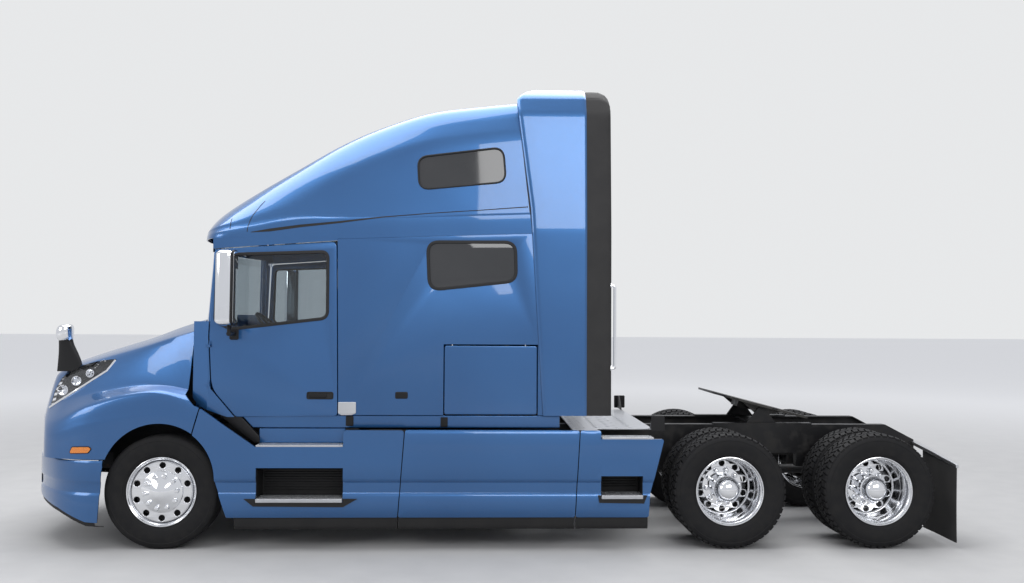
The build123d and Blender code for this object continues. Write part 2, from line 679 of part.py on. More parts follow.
# Sleeper side walls with a window and the opening of the luggage door
seam_bottom = (3300.0, cab_floor_bottom)
seam_middle = (3181.0, 2984.0)
seam_top = (3054.0, 3950.0)
luggage_stations = (2424.0, 3235.0)
luggage_heights = (1156.0, 1757.0)
luggage_pin_y = 1108.0
luggage_pin_z = 1745.0
luggage_pin_reach = 20.0
lower_window = ((2267.0, 3044.0), (2245.0, 2674.0))
upper_window = ((2178.0, 2935.0), (3140.0, 3469.0))
window_radius = 90.0


def roof_foot(station):
    """Height of the joint between side wall and roof."""
    return windshield_top + max(0.0, station - 1477) * 0.036


def window_shape(window, margin, y_values, mode):
    """A window with rounded corners, made smaller by a margin."""
    (low_s, high_s), (low_z, high_z) = window
    with BuildSketch(side_view(max(y_values))) as face:
        with Locations(((low_s + high_s) / 2, (low_z + high_z) / 2)):
            RectangleRounded(high_s - low_s - 2 * margin, high_z - low_z - 2 * margin, window_radius - margin)
    return extrude(face.sketch, amount=max(y_values) - min(y_values), mode=mode)


with BuildPart() as side_walls:
    for sign in (-1, 1):
        wall_y = (sign * (cab_half_width - cab_wall), sign * cab_half_width)
        side_slab([(1500, cab_floor_bottom), (3295, cab_floor_bottom), (3192, roof_foot(3192)),
                   (1477, roof_foot(1477))], wall_y)
        side_slab([(luggage_stations[0] - panel_gap, luggage_heights[1] + panel_gap + 4),
                   (luggage_stations[1] + panel_gap, luggage_heights[1] + panel_gap + 4),
                   (luggage_stations[1] + panel_gap, 1000), (luggage_stations[0] - panel_gap, 1000)],
                  (sign * 1000, sign * 1200), mode=Mode.SUBTRACT)
        window_shape(lower_window, 0, (sign * 1000, sign * 1200), Mode.SUBTRACT)
        for start, way in zip(luggage_stations, (1, -1)):
            rod((start - way * (panel_gap + 5), sign * luggage_pin_y, luggage_pin_z),
                (start + way * luggage_pin_reach, sign * luggage_pin_y, luggage_pin_z), hinge_pin_small)
pieces["side_walls"] = side_walls

for side, sign in sides:
    with BuildPart() as luggage_door:
        block(luggage_stations, sorted((sign * (cab_half_width - 40), sign * cab_half_width)), luggage_heights)
        for start, way in zip(luggage_stations, (1, -1)):
            rod((start - way, sign * luggage_pin_y, luggage_pin_z),
                (start + way * (luggage_pin_reach + 1), sign * luggage_pin_y, luggage_pin_z),
                hinge_pin_small + running_gap, mode=Mode.SUBTRACT)
    pieces[side + "_luggage_door"] = luggage_door

# Roof: cross sections from the brow to the rear seam.
# Columns: station, crown z, shoulder y, shoulder z, edge y, edge z, foot y
roof_table = [
    (205, 2760, 380, 2755, 520, 2735, 560),
    (260, 2870, 600, 2840, 800, 2780, 850),
    (400, 3010, 720, 2960, 1000, 2830, 1080),
    (700, 3195, 800, 3140, 1040, 2950, 1115),
    (1100, 3430, 850, 3365, 1055, 3120, 1120),
    (1450, 3630, 880, 3560, 1058, 3290, 1120),
    (1800, 3785, 900, 3715, 1060, 3430, 1120),
    (2250, 3930, 920, 3860, 1065, 3560, 1120),
    (2700, 3985, 930, 3925, 1070, 3620, 1120),
    (3200, 4025, 940, 3975, 1070, 3670, 1120),
]
roof_wall = 40.0


def roof_sections(inset, ahead, drop):
    sections = []
    for station, crown_z, shoulder_y, shoulder_z, edge_y, edge_z, foot_y in roof_table:
        foot_z = roof_foot(station) - drop
        half = [(0, crown_z - inset), (shoulder_y - inset, shoulder_z - inset), (edge_y - inset, edge_z - inset),
                (foot_y - inset, foot_z), (0, foot_z)]
        sections.append((station + ahead, half))
    return sections


seam_gap = 6.0
with BuildPart() as roof_shell:
    body_loft(roof_sections(0, 0, 0))
    body_loft(roof_sections(roof_wall, roof_wall, 60), mode=Mode.SUBTRACT)
    side_slab([seam_middle, seam_top, (3040, 4200), (3400, 4200), (3400, 2500), (3212, 2500)], (-1300, 1300),
              mode=Mode.SUBTRACT)

with BuildPart() as roof:
    add(roof_shell.part)
    for sign in (-1, 1):
        window_shape(upper_window, 0, (sign * 950, sign * 1300), Mode.SUBTRACT)
pieces["roof"] = roof

with BuildPart() as sleeper_glass:
    for sign in (-1, 1):
        glass_y = (sign * (cab_half_width - glass_inset), sign * (cab_half_width - glass_inset - glass_thickness))
        window_shape(lower_window, seat_gap, glass_y, Mode.ADD)

with BuildPart() as glass_zone:
    for sign in (-1, 1):
        window_shape(upper_window, seat_gap, (sign * 950, sign * 1300), Mode.ADD)

with BuildPart() as roof_glass:
    add(roof_shell.part)
    add(glass_zone.part, mode=Mode.INTERSECT)

with BuildPart() as cab_glass:
    add(windshield.part)
    add(sleeper_glass.part)
    add(roof_glass.part)
pieces["cab_glass"] = cab_glass

# Rear hoop of the body and the black extenders behind it, from one outline
hoop_half = [(0, 4112), (880, 4085), (1000, 3990), (1060, 3830), (1126, 2780), (1126, cab_floor_bottom)]
hoop_wall = 40.0
hoop_rear = 3665.0
extender_rear = 3886.0


def hoop_outline(inset):
    half = [(max(0.0, y - inset), z - inset) for y, z in hoop_half[:-1]]
    half.append((hoop_half[-1][0] - inset, hoop_half[-1][1]))
    return half


def hoop_ring(front, rear, outer_inset, inner_inset):
    """A bent wall open below, between two stations."""
    for inset, mode in ((outer_inset, Mode.ADD), (inner_inset, Mode.SUBTRACT)):
        spare = 0 if mode == Mode.ADD else 5
        half = hoop_outline(inset)
        half[-1] = (half[-1][0], half[-1][1] - spare)
        half.append((0, half[-1][1]))
        with BuildSketch(cross_view(front - spare)) as face:
            with BuildLine():
                Polyline(*mirrored_outline(half), close=True)
            make_face()
        extrude(face.sketch, amount=rear - front + 2 * spare, mode=mode)


with BuildPart() as rear_hoop:
    hoop_ring(3040, hoop_rear, 0, hoop_wall)
    side_slab([(seam_bottom[0] + seam_gap, 1100), (seam_middle[0] + seam_gap, seam_middle[1]),
               (seam_top[0] + seam_gap, seam_top[1]), (3100, 4030), (3200, 4075), (3200, 4300), (2900, 4300),
               (2900, 1100)], (-1300, 1300), mode=Mode.SUBTRACT)
pieces["rear_hoop"] = rear_hoop

with BuildPart() as extenders:
    hoop_ring(hoop_rear + seat_gap, extender_rear, 6, 26)
    side_slab([(3800, 4200), (extender_rear - 30, 4110), (extender_rear, 4060), (3950, 4060), (3950, 4200)],
              (-1300, 1300), mode=Mode.SUBTRACT)
pieces["extenders"] = extenders

with BuildPart() as rear_wall:
    half = hoop_outline(hoop_wall + seat_gap) + [(0, cab_floor_bottom)]
    with BuildSketch(cross_view(3440)) as face:
        with BuildLine():
            Polyline(*mirrored_outline(half), close=True)
        make_face()
    extrude(amount=60)
pieces["rear_wall"] = rear_wall

# Doors, each with its glass, handle and mirror
door_window = [(440, 2540), (425, 1960), (560, 1895), (1395, 1995), (1393, 2575)]
mirror_head_y = (1260.0, 1440.0)
for side, sign in sides:
    door_y = (sign * (cab_half_width - door_thickness), sign * cab_half_width)
    with BuildPart() as door:
        side_slab(door_outline, door_y)
        side_slab(door_window, (sign * 1000, sign * 1200), mode=Mode.SUBTRACT)
        for height in door_hinge_heights:
            block((door_hinge_station, door_hinge_station + 40),
                  sorted((sign * (door_hinge_y - 6), sign * door_hinge_y)), (height, height + 25))
            block((door_hinge_station + 20, door_hinge_station + 40),
                  sorted((sign * cab_half_width, sign * door_hinge_y)), (height, height + 25))
            rod((door_hinge_station, sign * door_hinge_y, height), (door_hinge_station, sign * door_hinge_y, height + 25),
                door_hinge_radius)
            rod((door_hinge_station, sign * door_hinge_y, height - 1),
                (door_hinge_station, sign * door_hinge_y, height + 26), hinge_pin_small + running_gap,
                mode=Mode.SUBTRACT)
    pieces[side + "_door"] = door
    with BuildPart() as door_glass:
        glass_y = (sign * (cab_half_width - 20), sign * (cab_half_width - 20 - glass_thickness))
        side_slab(door_window, glass_y, grow=-seat_gap)
    pieces[side + "_door_glass"] = door_glass
    with BuildPart() as mirror:
        block((1225, 1458), sorted((sign * cab_half_width, sign * (cab_half_width + 12))), (1285, 1351))
        side_slab([(545, 1914), (538, 2573), (650, 2573), (665, 1914)],
                  (sign * mirror_head_y[0], sign * mirror_head_y[1]))
        for heights in ((1830, 1880), (2500, 2550)):
            block((560, 620), sorted((sign * cab_half_width, sign * (mirror_head_y[0] + 40))), heights)
        block((560, 620), sorted((sign * (mirror_head_y[0]), sign * (mirror_head_y[0] + 40))), (1830, 1915))
    pieces[side + "_mirror_and_handle"] = mirror

# Inside the cab
with BuildPart() as dashboard:
    side_slab([(330, 1880), (330, 1480), (560, 1480), (680, 1700), (640, 1850), (560, 1880)], (-1000, 1000))
    for sign in (-1, 1):
        block((400, 440), sorted((sign * 850, sign * 900)), (cab_floor_top, 1480))
pieces["dashboard"] = dashboard

with BuildPart() as steering_wheel:
    rod((650, -480, 1740), (790, -480, 1884), 22)
    hub = Plane(origin=(front_axle_x + 790, -480, 1884), z_dir=(125, 0, 128))
    with Locations(hub):
        Torus(215, 14)
        Box(430, 40, 16)
        Cylinder(55, 24)
    add(dashboard.part, mode=Mode.SUBTRACT)
pieces["steering_wheel"] = steering_wheel

with BuildPart() as seats_and_bunk:
    for sign in (-1, 1):
        seat_y = (sign * 250, sign * 730)
        side_slab([(930, 1560), (930, 1680), (1330, 1650), (1400, 2300), (1500, 2300), (1450, 1560)], seat_y)
        block((1000, 1350), sorted((sign * 330, sign * 650)), (cab_floor_top, 1560))
    block((2520, 3440), (cab_wall - cab_half_width, cab_half_width - cab_wall), (1780, 1960))
pieces["seats_and_bunk"] = seats_and_bunk

# Side fairings, left and right in one node each
upper_step_z = 888.0
rear_step_z = 958.0
front_fairing_outline = [(342, 1213), (283, 1000), (283, 600), (283, fairing_bottom), (2032, fairing_bottom),
                         (2086, fairing_top), (1566, fairing_top), (1566, upper_step_z), (815, upper_step_z)]
tank_fairing_outline = [(2040, fairing_bottom), (2094, fairing_top), (3604, fairing_top), (3562, fairing_bottom)]
rear_fairing_outline = [(3570, fairing_bottom), (3612, fairing_top), (3790, fairing_top), (3790, rear_step_z),
                        (4340, rear_step_z), (4215, 469), (4205, fairing_bottom)]
fairing_y = (body_half_width - fairing_wall, body_half_width)
step_depth = 200.0
front_step = ((825.0, 1566.0), (433.0, 708.0))
rear_step = ((3790.0, 4154.0), (462.0, 640.0))


with BuildPart() as side_fairings:
    for outline in (front_fairing_outline, tank_fairing_outline, rear_fairing_outline):
        for sign in (-1, 1):
            side_slab(outline, (sign * fairing_y[0], sign * fairing_y[1]))
    for station, height in (front_step, rear_step):
        for sign in (-1, 1):
            block(station, sorted((sign * (fairing_y[0] - 5), sign * (fairing_y[1] + 5))), height,
                  mode=Mode.SUBTRACT)
    arch_cut((-beyond_body, beyond_body))
pieces["side_fairings"] = side_fairings

# Black panels: lower skirts, sills under the cab and uprights behind the deck
step_wall = 12.0
skirt_spans = ((640, 2030), (2042, 3560), (3572, 4200))
deck_stations = (3560.0, 4300.0)
deck_half_width = body_half_width - fairing_wall
deck_top = rail_top + 12
sill_y = cab_half_width - 80
upright_y = deck_half_width - 60
with BuildPart() as black_panels:
    for sign in (-1, 1):
        for span in skirt_spans:
            block(span, sorted((sign * (body_half_width - 25), sign * (body_half_width - 25 + skirt_wall))),
                  (skirt_bottom, fairing_bottom))
        side_slab([(430, cab_floor_bottom), (3440, cab_floor_bottom), (3440, 1033), (830, 1033), (620, 1080)],
                  (sign * sill_y, sign * (sill_y + step_wall)))
        block((4245, 4365), sorted((sign * upright_y, sign * (upright_y + 8))), (deck_top, 1150))
        block((4280, 4292), sorted((sign * 850, sign * upright_y)), (deck_top, 1150))
pieces["black_panels"] = black_panels

# Open boxes behind the lower steps
with BuildPart() as step_boxes:
    for sign in (-1, 1):
        for station, height in (front_step, rear_step):
            box_y = (sign * (body_half_width - fairing_wall - step_depth), sign * (body_half_width - fairing_wall))
            block((station[0] - step_wall, station[1] + step_wall), sorted(box_y),
                  (height[0] - step_wall, height[1] + step_wall))
            block(station, sorted((box_y[0] + sign * step_wall, box_y[1] + sign * 5)), height, mode=Mode.SUBTRACT)
pieces["step_boxes"] = step_boxes

# Treads on every step, each from its depth behind the body's side out to a nose, and the deck behind the cab
tread_nose = 12.0
tread_table = [((820, 1562), upper_step_z, 180), ((828, 1562), front_step[1][0], 170),
               ((3800, 4250), rear_step_z, 160), ((3793, 4151), rear_step[1][0], 170)]
with BuildPart() as step_treads:
    for station, height, depth in tread_table:
        for sign in (-1, 1):
            block(station, sorted((sign * (body_half_width - depth), sign * (body_half_width + tread_nose))),
                  (height, height + 15))
pieces["step_treads"] = step_treads

with BuildPart() as deck_plate:
    block(deck_stations, (-900, 900), (rail_top, deck_top))
    for sign in (-1, 1):
        block((deck_stations[0], 3790), sorted((sign * 900, sign * deck_half_width)), (rail_top, deck_top))
pieces["deck_plate"] = deck_plate

# Fuel tanks behind the middle fairings
tank_radius = 300.0
tank_y = body_half_width - fairing_wall - tank_radius - 18
tank_z = 640.0
tank_stations = (2120.0, 3560.0)
with BuildPart() as fuel_tanks:
    for sign in (-1, 1):
        rod((tank_stations[0], sign * tank_y, tank_z), (tank_stations[1], sign * tank_y, tank_z), tank_radius)
pieces["fuel_tanks"] = fuel_tanks

# Brackets on the frame: spring hangers, bumper arms with the bonnet's hinge pins, cab mounts,
# fairing carriers and tank saddles
with BuildPart() as frame_brackets:
    for sign in (-1, 1):
        for station in (-spring_half_length, spring_half_length - 60):
            block((station, station + 60),
                  sorted((sign * (spring_y - spring_half_width), sign * (spring_y + spring_half_width))),
                  (pad_top + spring_rise + spring_thickness + seat_gap, rail_bottom))
        side_slab([(-1320, 485), (-1320, 522), (-1285, 600), (-950, rail_bottom), (-950, 620), (-1250, 485)],
                  (sign * bumper_arm_y[0], sign * bumper_arm_y[1]))
        rod((bonnet_hinge_station, sign * 340, bonnet_hinge_z), (bonnet_hinge_station, sign * 381, bonnet_hinge_z),
            hinge_pin_radius)
        for station in (450, 1700, 3250):
            block((station, station + 90), sorted((sign * 350, sign * 425)), (rail_top, cab_floor_bottom))
        for station in (640, 1620, 2060, 3600):
            block((station, station + 20), sorted((sign * rail_outer_y, sign * (body_half_width - fairing_wall))),
                  (760, 880))
        for station in (2400, 3200):
            block((station, station + 80), sorted((sign * rail_outer_y, sign * (tank_y - 60))), (400, 900))
            rod((station - 1, sign * tank_y, tank_z), (station + 81, sign * tank_y, tank_z), tank_radius + seat_gap,
                mode=Mode.SUBTRACT)
    add(bumper_shell.part, mode=Mode.SUBTRACT)
pieces["frame_brackets"] = frame_brackets

# Fifth wheel: its base on the frame and the plate that tilts on it
tilt = math.radians(fifth_wheel_rest_tilt)


def plate_point(along, above):
    """A side view point given along and above the tilted top plate's pivot."""
    station = fifth_wheel_station + along * math.cos(tilt) + above * math.sin(tilt)
    height = fifth_wheel_pivot_z - along * math.sin(tilt) + above * math.cos(tilt)
    return station, height


with BuildPart() as fifth_wheel_base:
    for sign in (-1, 1):
        block((4980, 5930), sorted((sign * 343, sign * rail_outer_y)), (rail_top, rail_top + 12))
        side_slab([(5320, rail_top + 12), (5420, 1150), (5492, 1150), (5592, rail_top + 12)],
                  (sign * 370, sign * 390))
        rod((fifth_wheel_station, sign * 330, fifth_wheel_pivot_z), (fifth_wheel_station, sign * 390, fifth_wheel_pivot_z),
            fifth_wheel_pin_radius)
    block((5376, 5536), (-343, 343), (rail_top, rail_top + 12))
pieces["fifth_wheel_base"] = fifth_wheel_base

plate_top = 55.0
plate_thickness = 20.0
with BuildPart() as fifth_wheel_plate:
    plate_side = [plate_point(-480, plate_top), plate_point(-480, plate_top - plate_thickness),
                  plate_point(430, plate_top - plate_thickness), plate_point(430, plate_top)]
    side_slab(plate_side, (-plate_half_width, plate_half_width))
    for sign in (-1, 1):
        side_slab([plate_point(-200, plate_top - plate_thickness), plate_point(-45, -40), plate_point(45, -40),
                   plate_point(200, plate_top - plate_thickness)], (sign * 335, sign * 362))
        rod((fifth_wheel_station, sign * 334, fifth_wheel_pivot_z), (fifth_wheel_station, sign * 363, fifth_wheel_pivot_z),
            fifth_wheel_pin_radius + running_gap, mode=Mode.SUBTRACT)
    side_slab([plate_point(-160, plate_top - plate_thickness), plate_point(-160, -25), plate_point(60, -25),
               plate_point(60, plate_top - plate_thickness)], (-110, 110))
    deck = Plane(origin=(front_axle_x + plate_point(0, plate_top)[0], 0, plate_point(0, plate_top)[1]),
                 x_dir=(math.cos(tilt), 0, -math.sin(tilt)), z_dir=(math.sin(tilt), 0, math.cos(tilt)))
    with BuildSketch(deck.offset(5)):
        with Locations((-50, 0)):
            Circle(kingpin_bore_radius)
    extrude(amount=-120, mode=Mode.SUBTRACT)
    with BuildSketch(deck.offset(5)):
        with BuildLine():
            Polyline((75, -34), (75, 34), (460, 210), (460, -210), close=True)
        make_face()
    extrude(amount=-120, mode=Mode.SUBTRACT)
    with BuildSketch(deck.offset(5)):
        for sign in (-1, 1):
            with BuildLine():
                Polyline((-500, sign * 470), (-500, sign * 260), (-330, sign * 470), close=True)
            make_face()
    extrude(amount=-120, mode=Mode.SUBTRACT)
pieces["fifth_wheel_plate"] = fifth_wheel_plate

# Mud flaps, their hangers, tail lamps and the grab handle behind the sleeper
bar_station = 6945.0
flap_outer_y = body_half_width - 20
handle_y = cab_half_width - 10
with BuildPart() as bright_bars:
    for sign in (-1, 1):
        block((rail_rear, bar_station + 9), sorted((sign * (rail_outer_y - 40), sign * rail_outer_y)), (800, 852))
        rod((bar_station, sign * (rail_outer_y - 17), 831), (bar_station, sign * (body_half_width - 15), 721), 14)
        for height in (1564, 2293):
            rod((extender_rear, sign * handle_y, height), (extender_rear + 30, sign * handle_y, height), 10)
        rod((extender_rear + 30, sign * handle_y, 1550), (extender_rear + 30, sign * handle_y, 2307), 14)
pieces["bright_bars"] = bright_bars

with BuildPart() as mud_flaps:
    for sign in (-1, 1):
        with BuildSketch(cross_view(bar_station - 5)):
            with BuildLine():
                Polyline((sign * 590, 812), (sign * flap_outer_y, 724), (sign * flap_outer_y, 51), (sign * 590, 51),
                         close=True)
            make_face()
    extrude(amount=10)
    add(bright_bars.part, mode=Mode.SUBTRACT)
    keep = mud_flaps.part.solids().sort_by(SortBy.VOLUME)[-2:]
    add(keep, mode=Mode.REPLACE)
pieces["mud_flaps"] = mud_flaps

with BuildPart() as tail_lamps:
    for sign in (-1, 1):
        block((6920, 6934), sorted((sign * 240, sign * 380)), (745, 805))
pieces["tail_lamps"] = tail_lamps

for name, piece in pieces.items():
    piece.part.label = name
    export_step(piece.part, f"parts/{name}.step")
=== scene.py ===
import contextlib
import math

import bmesh
import bpy
from mathutils import Matrix, Vector
from mathutils.bvhtree import BVHTree


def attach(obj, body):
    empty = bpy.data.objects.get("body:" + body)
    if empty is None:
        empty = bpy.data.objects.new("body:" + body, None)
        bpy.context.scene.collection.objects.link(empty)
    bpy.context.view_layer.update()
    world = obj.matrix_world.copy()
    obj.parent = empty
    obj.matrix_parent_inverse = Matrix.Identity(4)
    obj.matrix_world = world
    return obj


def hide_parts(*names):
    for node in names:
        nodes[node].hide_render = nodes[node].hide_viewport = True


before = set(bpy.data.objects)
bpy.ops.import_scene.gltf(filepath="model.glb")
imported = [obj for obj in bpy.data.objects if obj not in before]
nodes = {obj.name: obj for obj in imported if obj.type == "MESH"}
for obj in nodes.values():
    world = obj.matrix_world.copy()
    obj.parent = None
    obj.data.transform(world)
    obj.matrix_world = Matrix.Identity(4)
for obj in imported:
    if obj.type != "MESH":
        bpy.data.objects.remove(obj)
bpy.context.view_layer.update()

# X runs rearwards, Y to the truck's right, Z up, in metres.
# A station is a distance behind the front axle.
FRONT_AXLE_X = -2.812
STEER_RADIUS = 0.488
DRIVE_RADIUS = 0.500
STEER_Y = 1.032
DRIVE_Y = 1.080
DUAL_SPACING = 0.343
DRIVE_STATIONS = (4.926, 6.2468)
CAB_Y = 1.120
BODY_Y = 1.220
SIDES = (("left", -1), ("right", 1))


def at(station, y, z):
    return Vector((FRONT_AXLE_X + station, y, z))


# Shader maths


class Value:
    """One output in a material, which adds a Math node when it is used in a sum."""

    def __init__(self, finish, socket):
        self.finish = finish
        self.socket = socket

    def maths(self, operation, *values):
        return self.finish.node("ShaderNodeMath", {"operation": operation}, dict(enumerate(values)))

    def __add__(self, other):
        return self.maths("ADD", self, other)

    __radd__ = __add__

    def __sub__(self, other):
        return self.maths("SUBTRACT", self, other)

    def __rsub__(self, other):
        return self.maths("SUBTRACT", other, self)

    def __mul__(self, other):
        return self.maths("MULTIPLY", self, other)

    __rmul__ = __mul__

    def clamp(self):
        return self.maths("MAXIMUM", self.maths("MINIMUM", self, 1.0), 0.0)

    def step(self, low, high):
        """Runs smoothly from 0 at low to 1 at high."""
        return self.finish.node("ShaderNodeMapRange", {"interpolation_type": "SMOOTHSTEP"},
                                {"Value": self, "From Min": low, "From Max": high})


class Finish:
    """A material of one principled shader and the nodes that vary it."""

    def __init__(self, name, colour, roughness, metallic=0.0, **sockets):
        self.material = bpy.data.materials.new(name)
        self.material.use_nodes = True
        self.tree = self.material.node_tree
        self.shader = self.tree.nodes["Principled BSDF"]
        self.set(self.shader, {"Base Color": colour, "Roughness": roughness, "Metallic": metallic, **sockets})

    def set(self, node, inputs):
        for key, value in inputs.items():
            socket = node.inputs[key]
            if isinstance(value, Value):
                self.tree.links.new(value.socket, socket)
            elif hasattr(socket.default_value, "__len__") and len(socket.default_value) == 4:
                socket.default_value = (*value[:3], 1.0)
            else:
                socket.default_value = value

    def node(self, kind, settings=None, inputs=None, output=0):
        node = self.tree.nodes.new(kind)
        for key, value in (settings or {}).items():
            setattr(node, key, value)
        self.set(node, inputs or {})
        return Value(self, node.outputs[output])

    def place(self):
        """Object coordinates, in metres."""
        return self.node("ShaderNodeTexCoord", output=3)

    def noise(self, scale, detail=3.0, stretch=None):
        place = self.place()
        if stretch:
            place = self.node("ShaderNodeMapping", {}, {"Vector": place, "Scale": stretch})
        return self.node("ShaderNodeTexNoise", {}, {"Vector": place, "Scale": scale, "Detail": detail})

    def cells(self, scale):
        return self.node("ShaderNodeTexVoronoi", {}, {"Vector": self.place(), "Scale": scale})

    def wave(self, direction, scale):
        return self.node("ShaderNodeTexWave", {"bands_direction": direction}, {"Vector": self.place(), "Scale": scale})

    def axis(self, index):
        """One coordinate of the place, 0 for X, 1 for Y and 2 for Z."""
        return self.node("ShaderNodeSeparateXYZ", {}, {0: self.place()}, output=index)

    def tint(self, mask, colour, other):
        """A colour that goes to another one where the mask is 1."""
        return self.node("ShaderNodeMix", {"data_type": "RGBA"}, {0: mask, 6: colour, 7: other}, output=2)

    def colour(self, value):
        self.set(self.shader, {"Base Color": value})

    def rough(self, value):
        self.set(self.shader, {"Roughness": value})

    def bump(self, height, distance, strength):
        bumped = self.node("ShaderNodeBump", {}, {"Height": height, "Distance": distance, "Strength": strength})
        self.set(self.shader, {"Normal": bumped})


def varied(name, base, roughness, metallic=0.0, mask=None, colours=None, share=1.0, swing=None, bump=None, **sockets):
    """A finish that a mask varies: its colour between two, and its roughness from a start by a swing.

    The mask is a function of the finish, and so is the bump's height, which is the mask itself where it is None.
    """
    f = Finish(name, base, roughness, metallic, **sockets)
    value = mask(f)
    if colours:
        f.colour(f.tint(value if share == 1.0 else value * share, *colours))
    if swing:
        f.rough(swing[0] + value * swing[1])
    if bump:
        height, distance, strength = bump
        f.bump(height(f) if height else value, distance, strength)
    return f.material


def body_paint():
    """Blue metallic paint: fine flakes under a clear coat, and the slight waves of large panels."""
    f = Finish("body_paint", (0.03, 0.10, 0.34), 0.34, 0.75, **{"Coat Weight": 1.0, "Coat Roughness": 0.03})
    flakes = f.cells(900.0)
    cloud = f.noise(0.9, 2.0)
    f.colour(f.tint((flakes * 0.5 + cloud * 0.6).clamp(), (0.011, 0.068, 0.205), (0.036, 0.145, 0.365)))
    f.rough(0.28 + f.noise(35.0) * 0.12)
    f.bump(f.noise(1.6, 1.0), 0.012, 0.5)
    return f.material


def cast_black():
    """Cast iron painted black, with the sand's coarse skin and some rust."""
    f = Finish("cast_black", (0.03, 0.03, 0.032), 0.6)
    skin = f.noise(180.0, 4.0)
    rust = f.noise(14.0, 6.0).step(0.58, 0.72)
    f.colour(f.tint(rust * 0.6, (0.022, 0.022, 0.024), (0.085, 0.045, 0.025)))
    f.rough(0.5 + skin * 0.2)
    f.bump(skin, 0.0015, 0.7)
    return f.material


def chequer_plate():
    """Bright aluminium tread plate with raised bars lying both ways."""
    f = Finish("chequer_plate", (0.7, 0.71, 0.73), 0.35, 0.6)
    along, across = f.axis(0), f.axis(1)
    bars_per_metre = 26.0
    waves = []
    for sign in (1, -1):
        angle = (along + sign * across) * bars_per_metre * 2 * math.pi
        waves.append(angle.maths("SINE", angle))
    bars = (waves[0] * waves[1]).step(0.25, 0.6)
    f.colour(f.tint((bars * 0.6 + f.noise(18.0, 4.0) * 0.3).clamp(), (0.42, 0.43, 0.45), (0.85, 0.86, 0.88)))
    f.rough(0.34 - bars * 0.14)
    f.bump(bars, 0.003, 0.9)
    return f.material


def dark_glass():
    """Privacy glass of the sleeper."""
    f = Finish("dark_glass", (0.02, 0.022, 0.026), 0.05, 0.0, **{"Coat Weight": 0.6})
    f.colour(f.tint(f.noise(2.0), (0.014, 0.016, 0.018), (0.035, 0.035, 0.038)))
    f.rough(0.03 + f.noise(9.0) * 0.05)
    return f.material


def lens(name, colour):
    """A coloured lens with moulded optics behind its skin."""
    return varied(name, colour, 0.12, mask=lambda f: f.cells(160.0), bump=(None, 0.0015, 0.5),
                  colours=(colour, tuple(part * 0.55 for part in colour)), **{"Coat Weight": 1.0})


def woven_seat():
    """Grey woven upholstery."""
    f = Finish("woven_seat", (0.08, 0.08, 0.09), 0.9, 0.0, **{"Sheen Weight": 0.3})
    weave = f.wave("X", 130.0) * f.wave("Z", 130.0)
    f.colour(f.tint((weave * 0.6 + f.noise(5.0) * 0.4).clamp(), (0.05, 0.052, 0.06), (0.15, 0.15, 0.165)))
    f.bump(weave, 0.0012, 0.8)
    return f.material


PAINT = body_paint()
# Black moulded plastic with a fine leather grain, dustier low down
BLACK = varied("black_moulding", (0.01, 0.01, 0.011), 0.5,
               mask=lambda f: f.noise(6.0) * (1.0 - f.axis(2).step(0.1, 1.2)),
               colours=((0.007, 0.007, 0.008), (0.045, 0.043, 0.040)), share=0.4, swing=(0.42, 0.3),
               bump=(lambda f: f.cells(420.0), 0.0006, 0.6), **{"Specular IOR Level": 0.3})
# Black chassis paint with road dust on it
CHASSIS = varied("chassis_black", (0.01, 0.01, 0.011), 0.45, mask=lambda f: f.noise(9.0, 5.0).step(0.45, 0.75),
                 colours=((0.007, 0.007, 0.008), (0.034, 0.031, 0.028)), share=0.5, swing=(0.38, 0.3),
                 bump=(lambda f: f.noise(120.0), 0.001, 0.4), **{"Specular IOR Level": 0.35})
CAST = cast_black()
# The fifth wheel's black iron, glossy where grease lies on it
GREASED = varied("greased_iron", (0.02, 0.02, 0.02), 0.4, 0.3, mask=lambda f: f.noise(11.0, 5.0).step(0.42, 0.62),
                 colours=((0.045, 0.043, 0.04), (0.012, 0.011, 0.01)), swing=(0.55, -0.3),
                 bump=(lambda f: f.noise(60.0, 4.0), 0.002, 0.5))
# Tyre rubber, greyer with dust
TYRE = varied("tyre_rubber", (0.01, 0.01, 0.01), 0.75, mask=lambda f: f.noise(16.0, 5.0).step(0.35, 0.8),
              colours=((0.006, 0.006, 0.007), (0.026, 0.025, 0.024)), share=0.5, swing=(0.62, 0.25),
              bump=(lambda f: f.noise(260.0), 0.0006, 0.6), **{"Specular IOR Level": 0.25})
# Matt black sheet rubber with a woven ply under its skin
RUBBER = varied("soft_rubber", (0.015, 0.015, 0.016), 0.7, mask=lambda f: f.noise(7.0, 4.0),
                colours=((0.012, 0.012, 0.013), (0.035, 0.034, 0.034)), swing=(0.6, 0.2),
                bump=(lambda f: f.wave("Z", 60.0), 0.001, 0.4), **{"Specular IOR Level": 0.35})
# Chrome plate with faint wipe marks
CHROME = varied("chrome", (0.86, 0.87, 0.89), 0.07, 1.0, mask=lambda f: f.noise(30.0, 4.0, (1.0, 1.0, 0.2)),
                colours=((0.88, 0.89, 0.91), (0.7, 0.71, 0.73)), share=0.3, swing=(0.04, 0.08))
# Forged and polished wheel aluminium
WHEEL = varied("polished_aluminium", (0.82, 0.83, 0.85), 0.14, 1.0, mask=lambda f: f.noise(22.0, 5.0),
               colours=((0.86, 0.87, 0.89), (0.6, 0.6, 0.62)), share=0.4, swing=(0.09, 0.16),
               bump=(lambda f: f.noise(300.0), 0.0002, 0.3))
# Mill finish sheet aluminium
ALUMINIUM = varied("satin_aluminium", (0.6, 0.61, 0.63), 0.32, 1.0, mask=lambda f: f.noise(80.0, 3.0, (0.05, 1.0, 1.0)),
                   colours=((0.66, 0.67, 0.69), (0.45, 0.46, 0.48)), share=0.5, swing=(0.25, 0.2),
                   bump=(None, 0.0003, 0.5))
TREAD = chequer_plate()
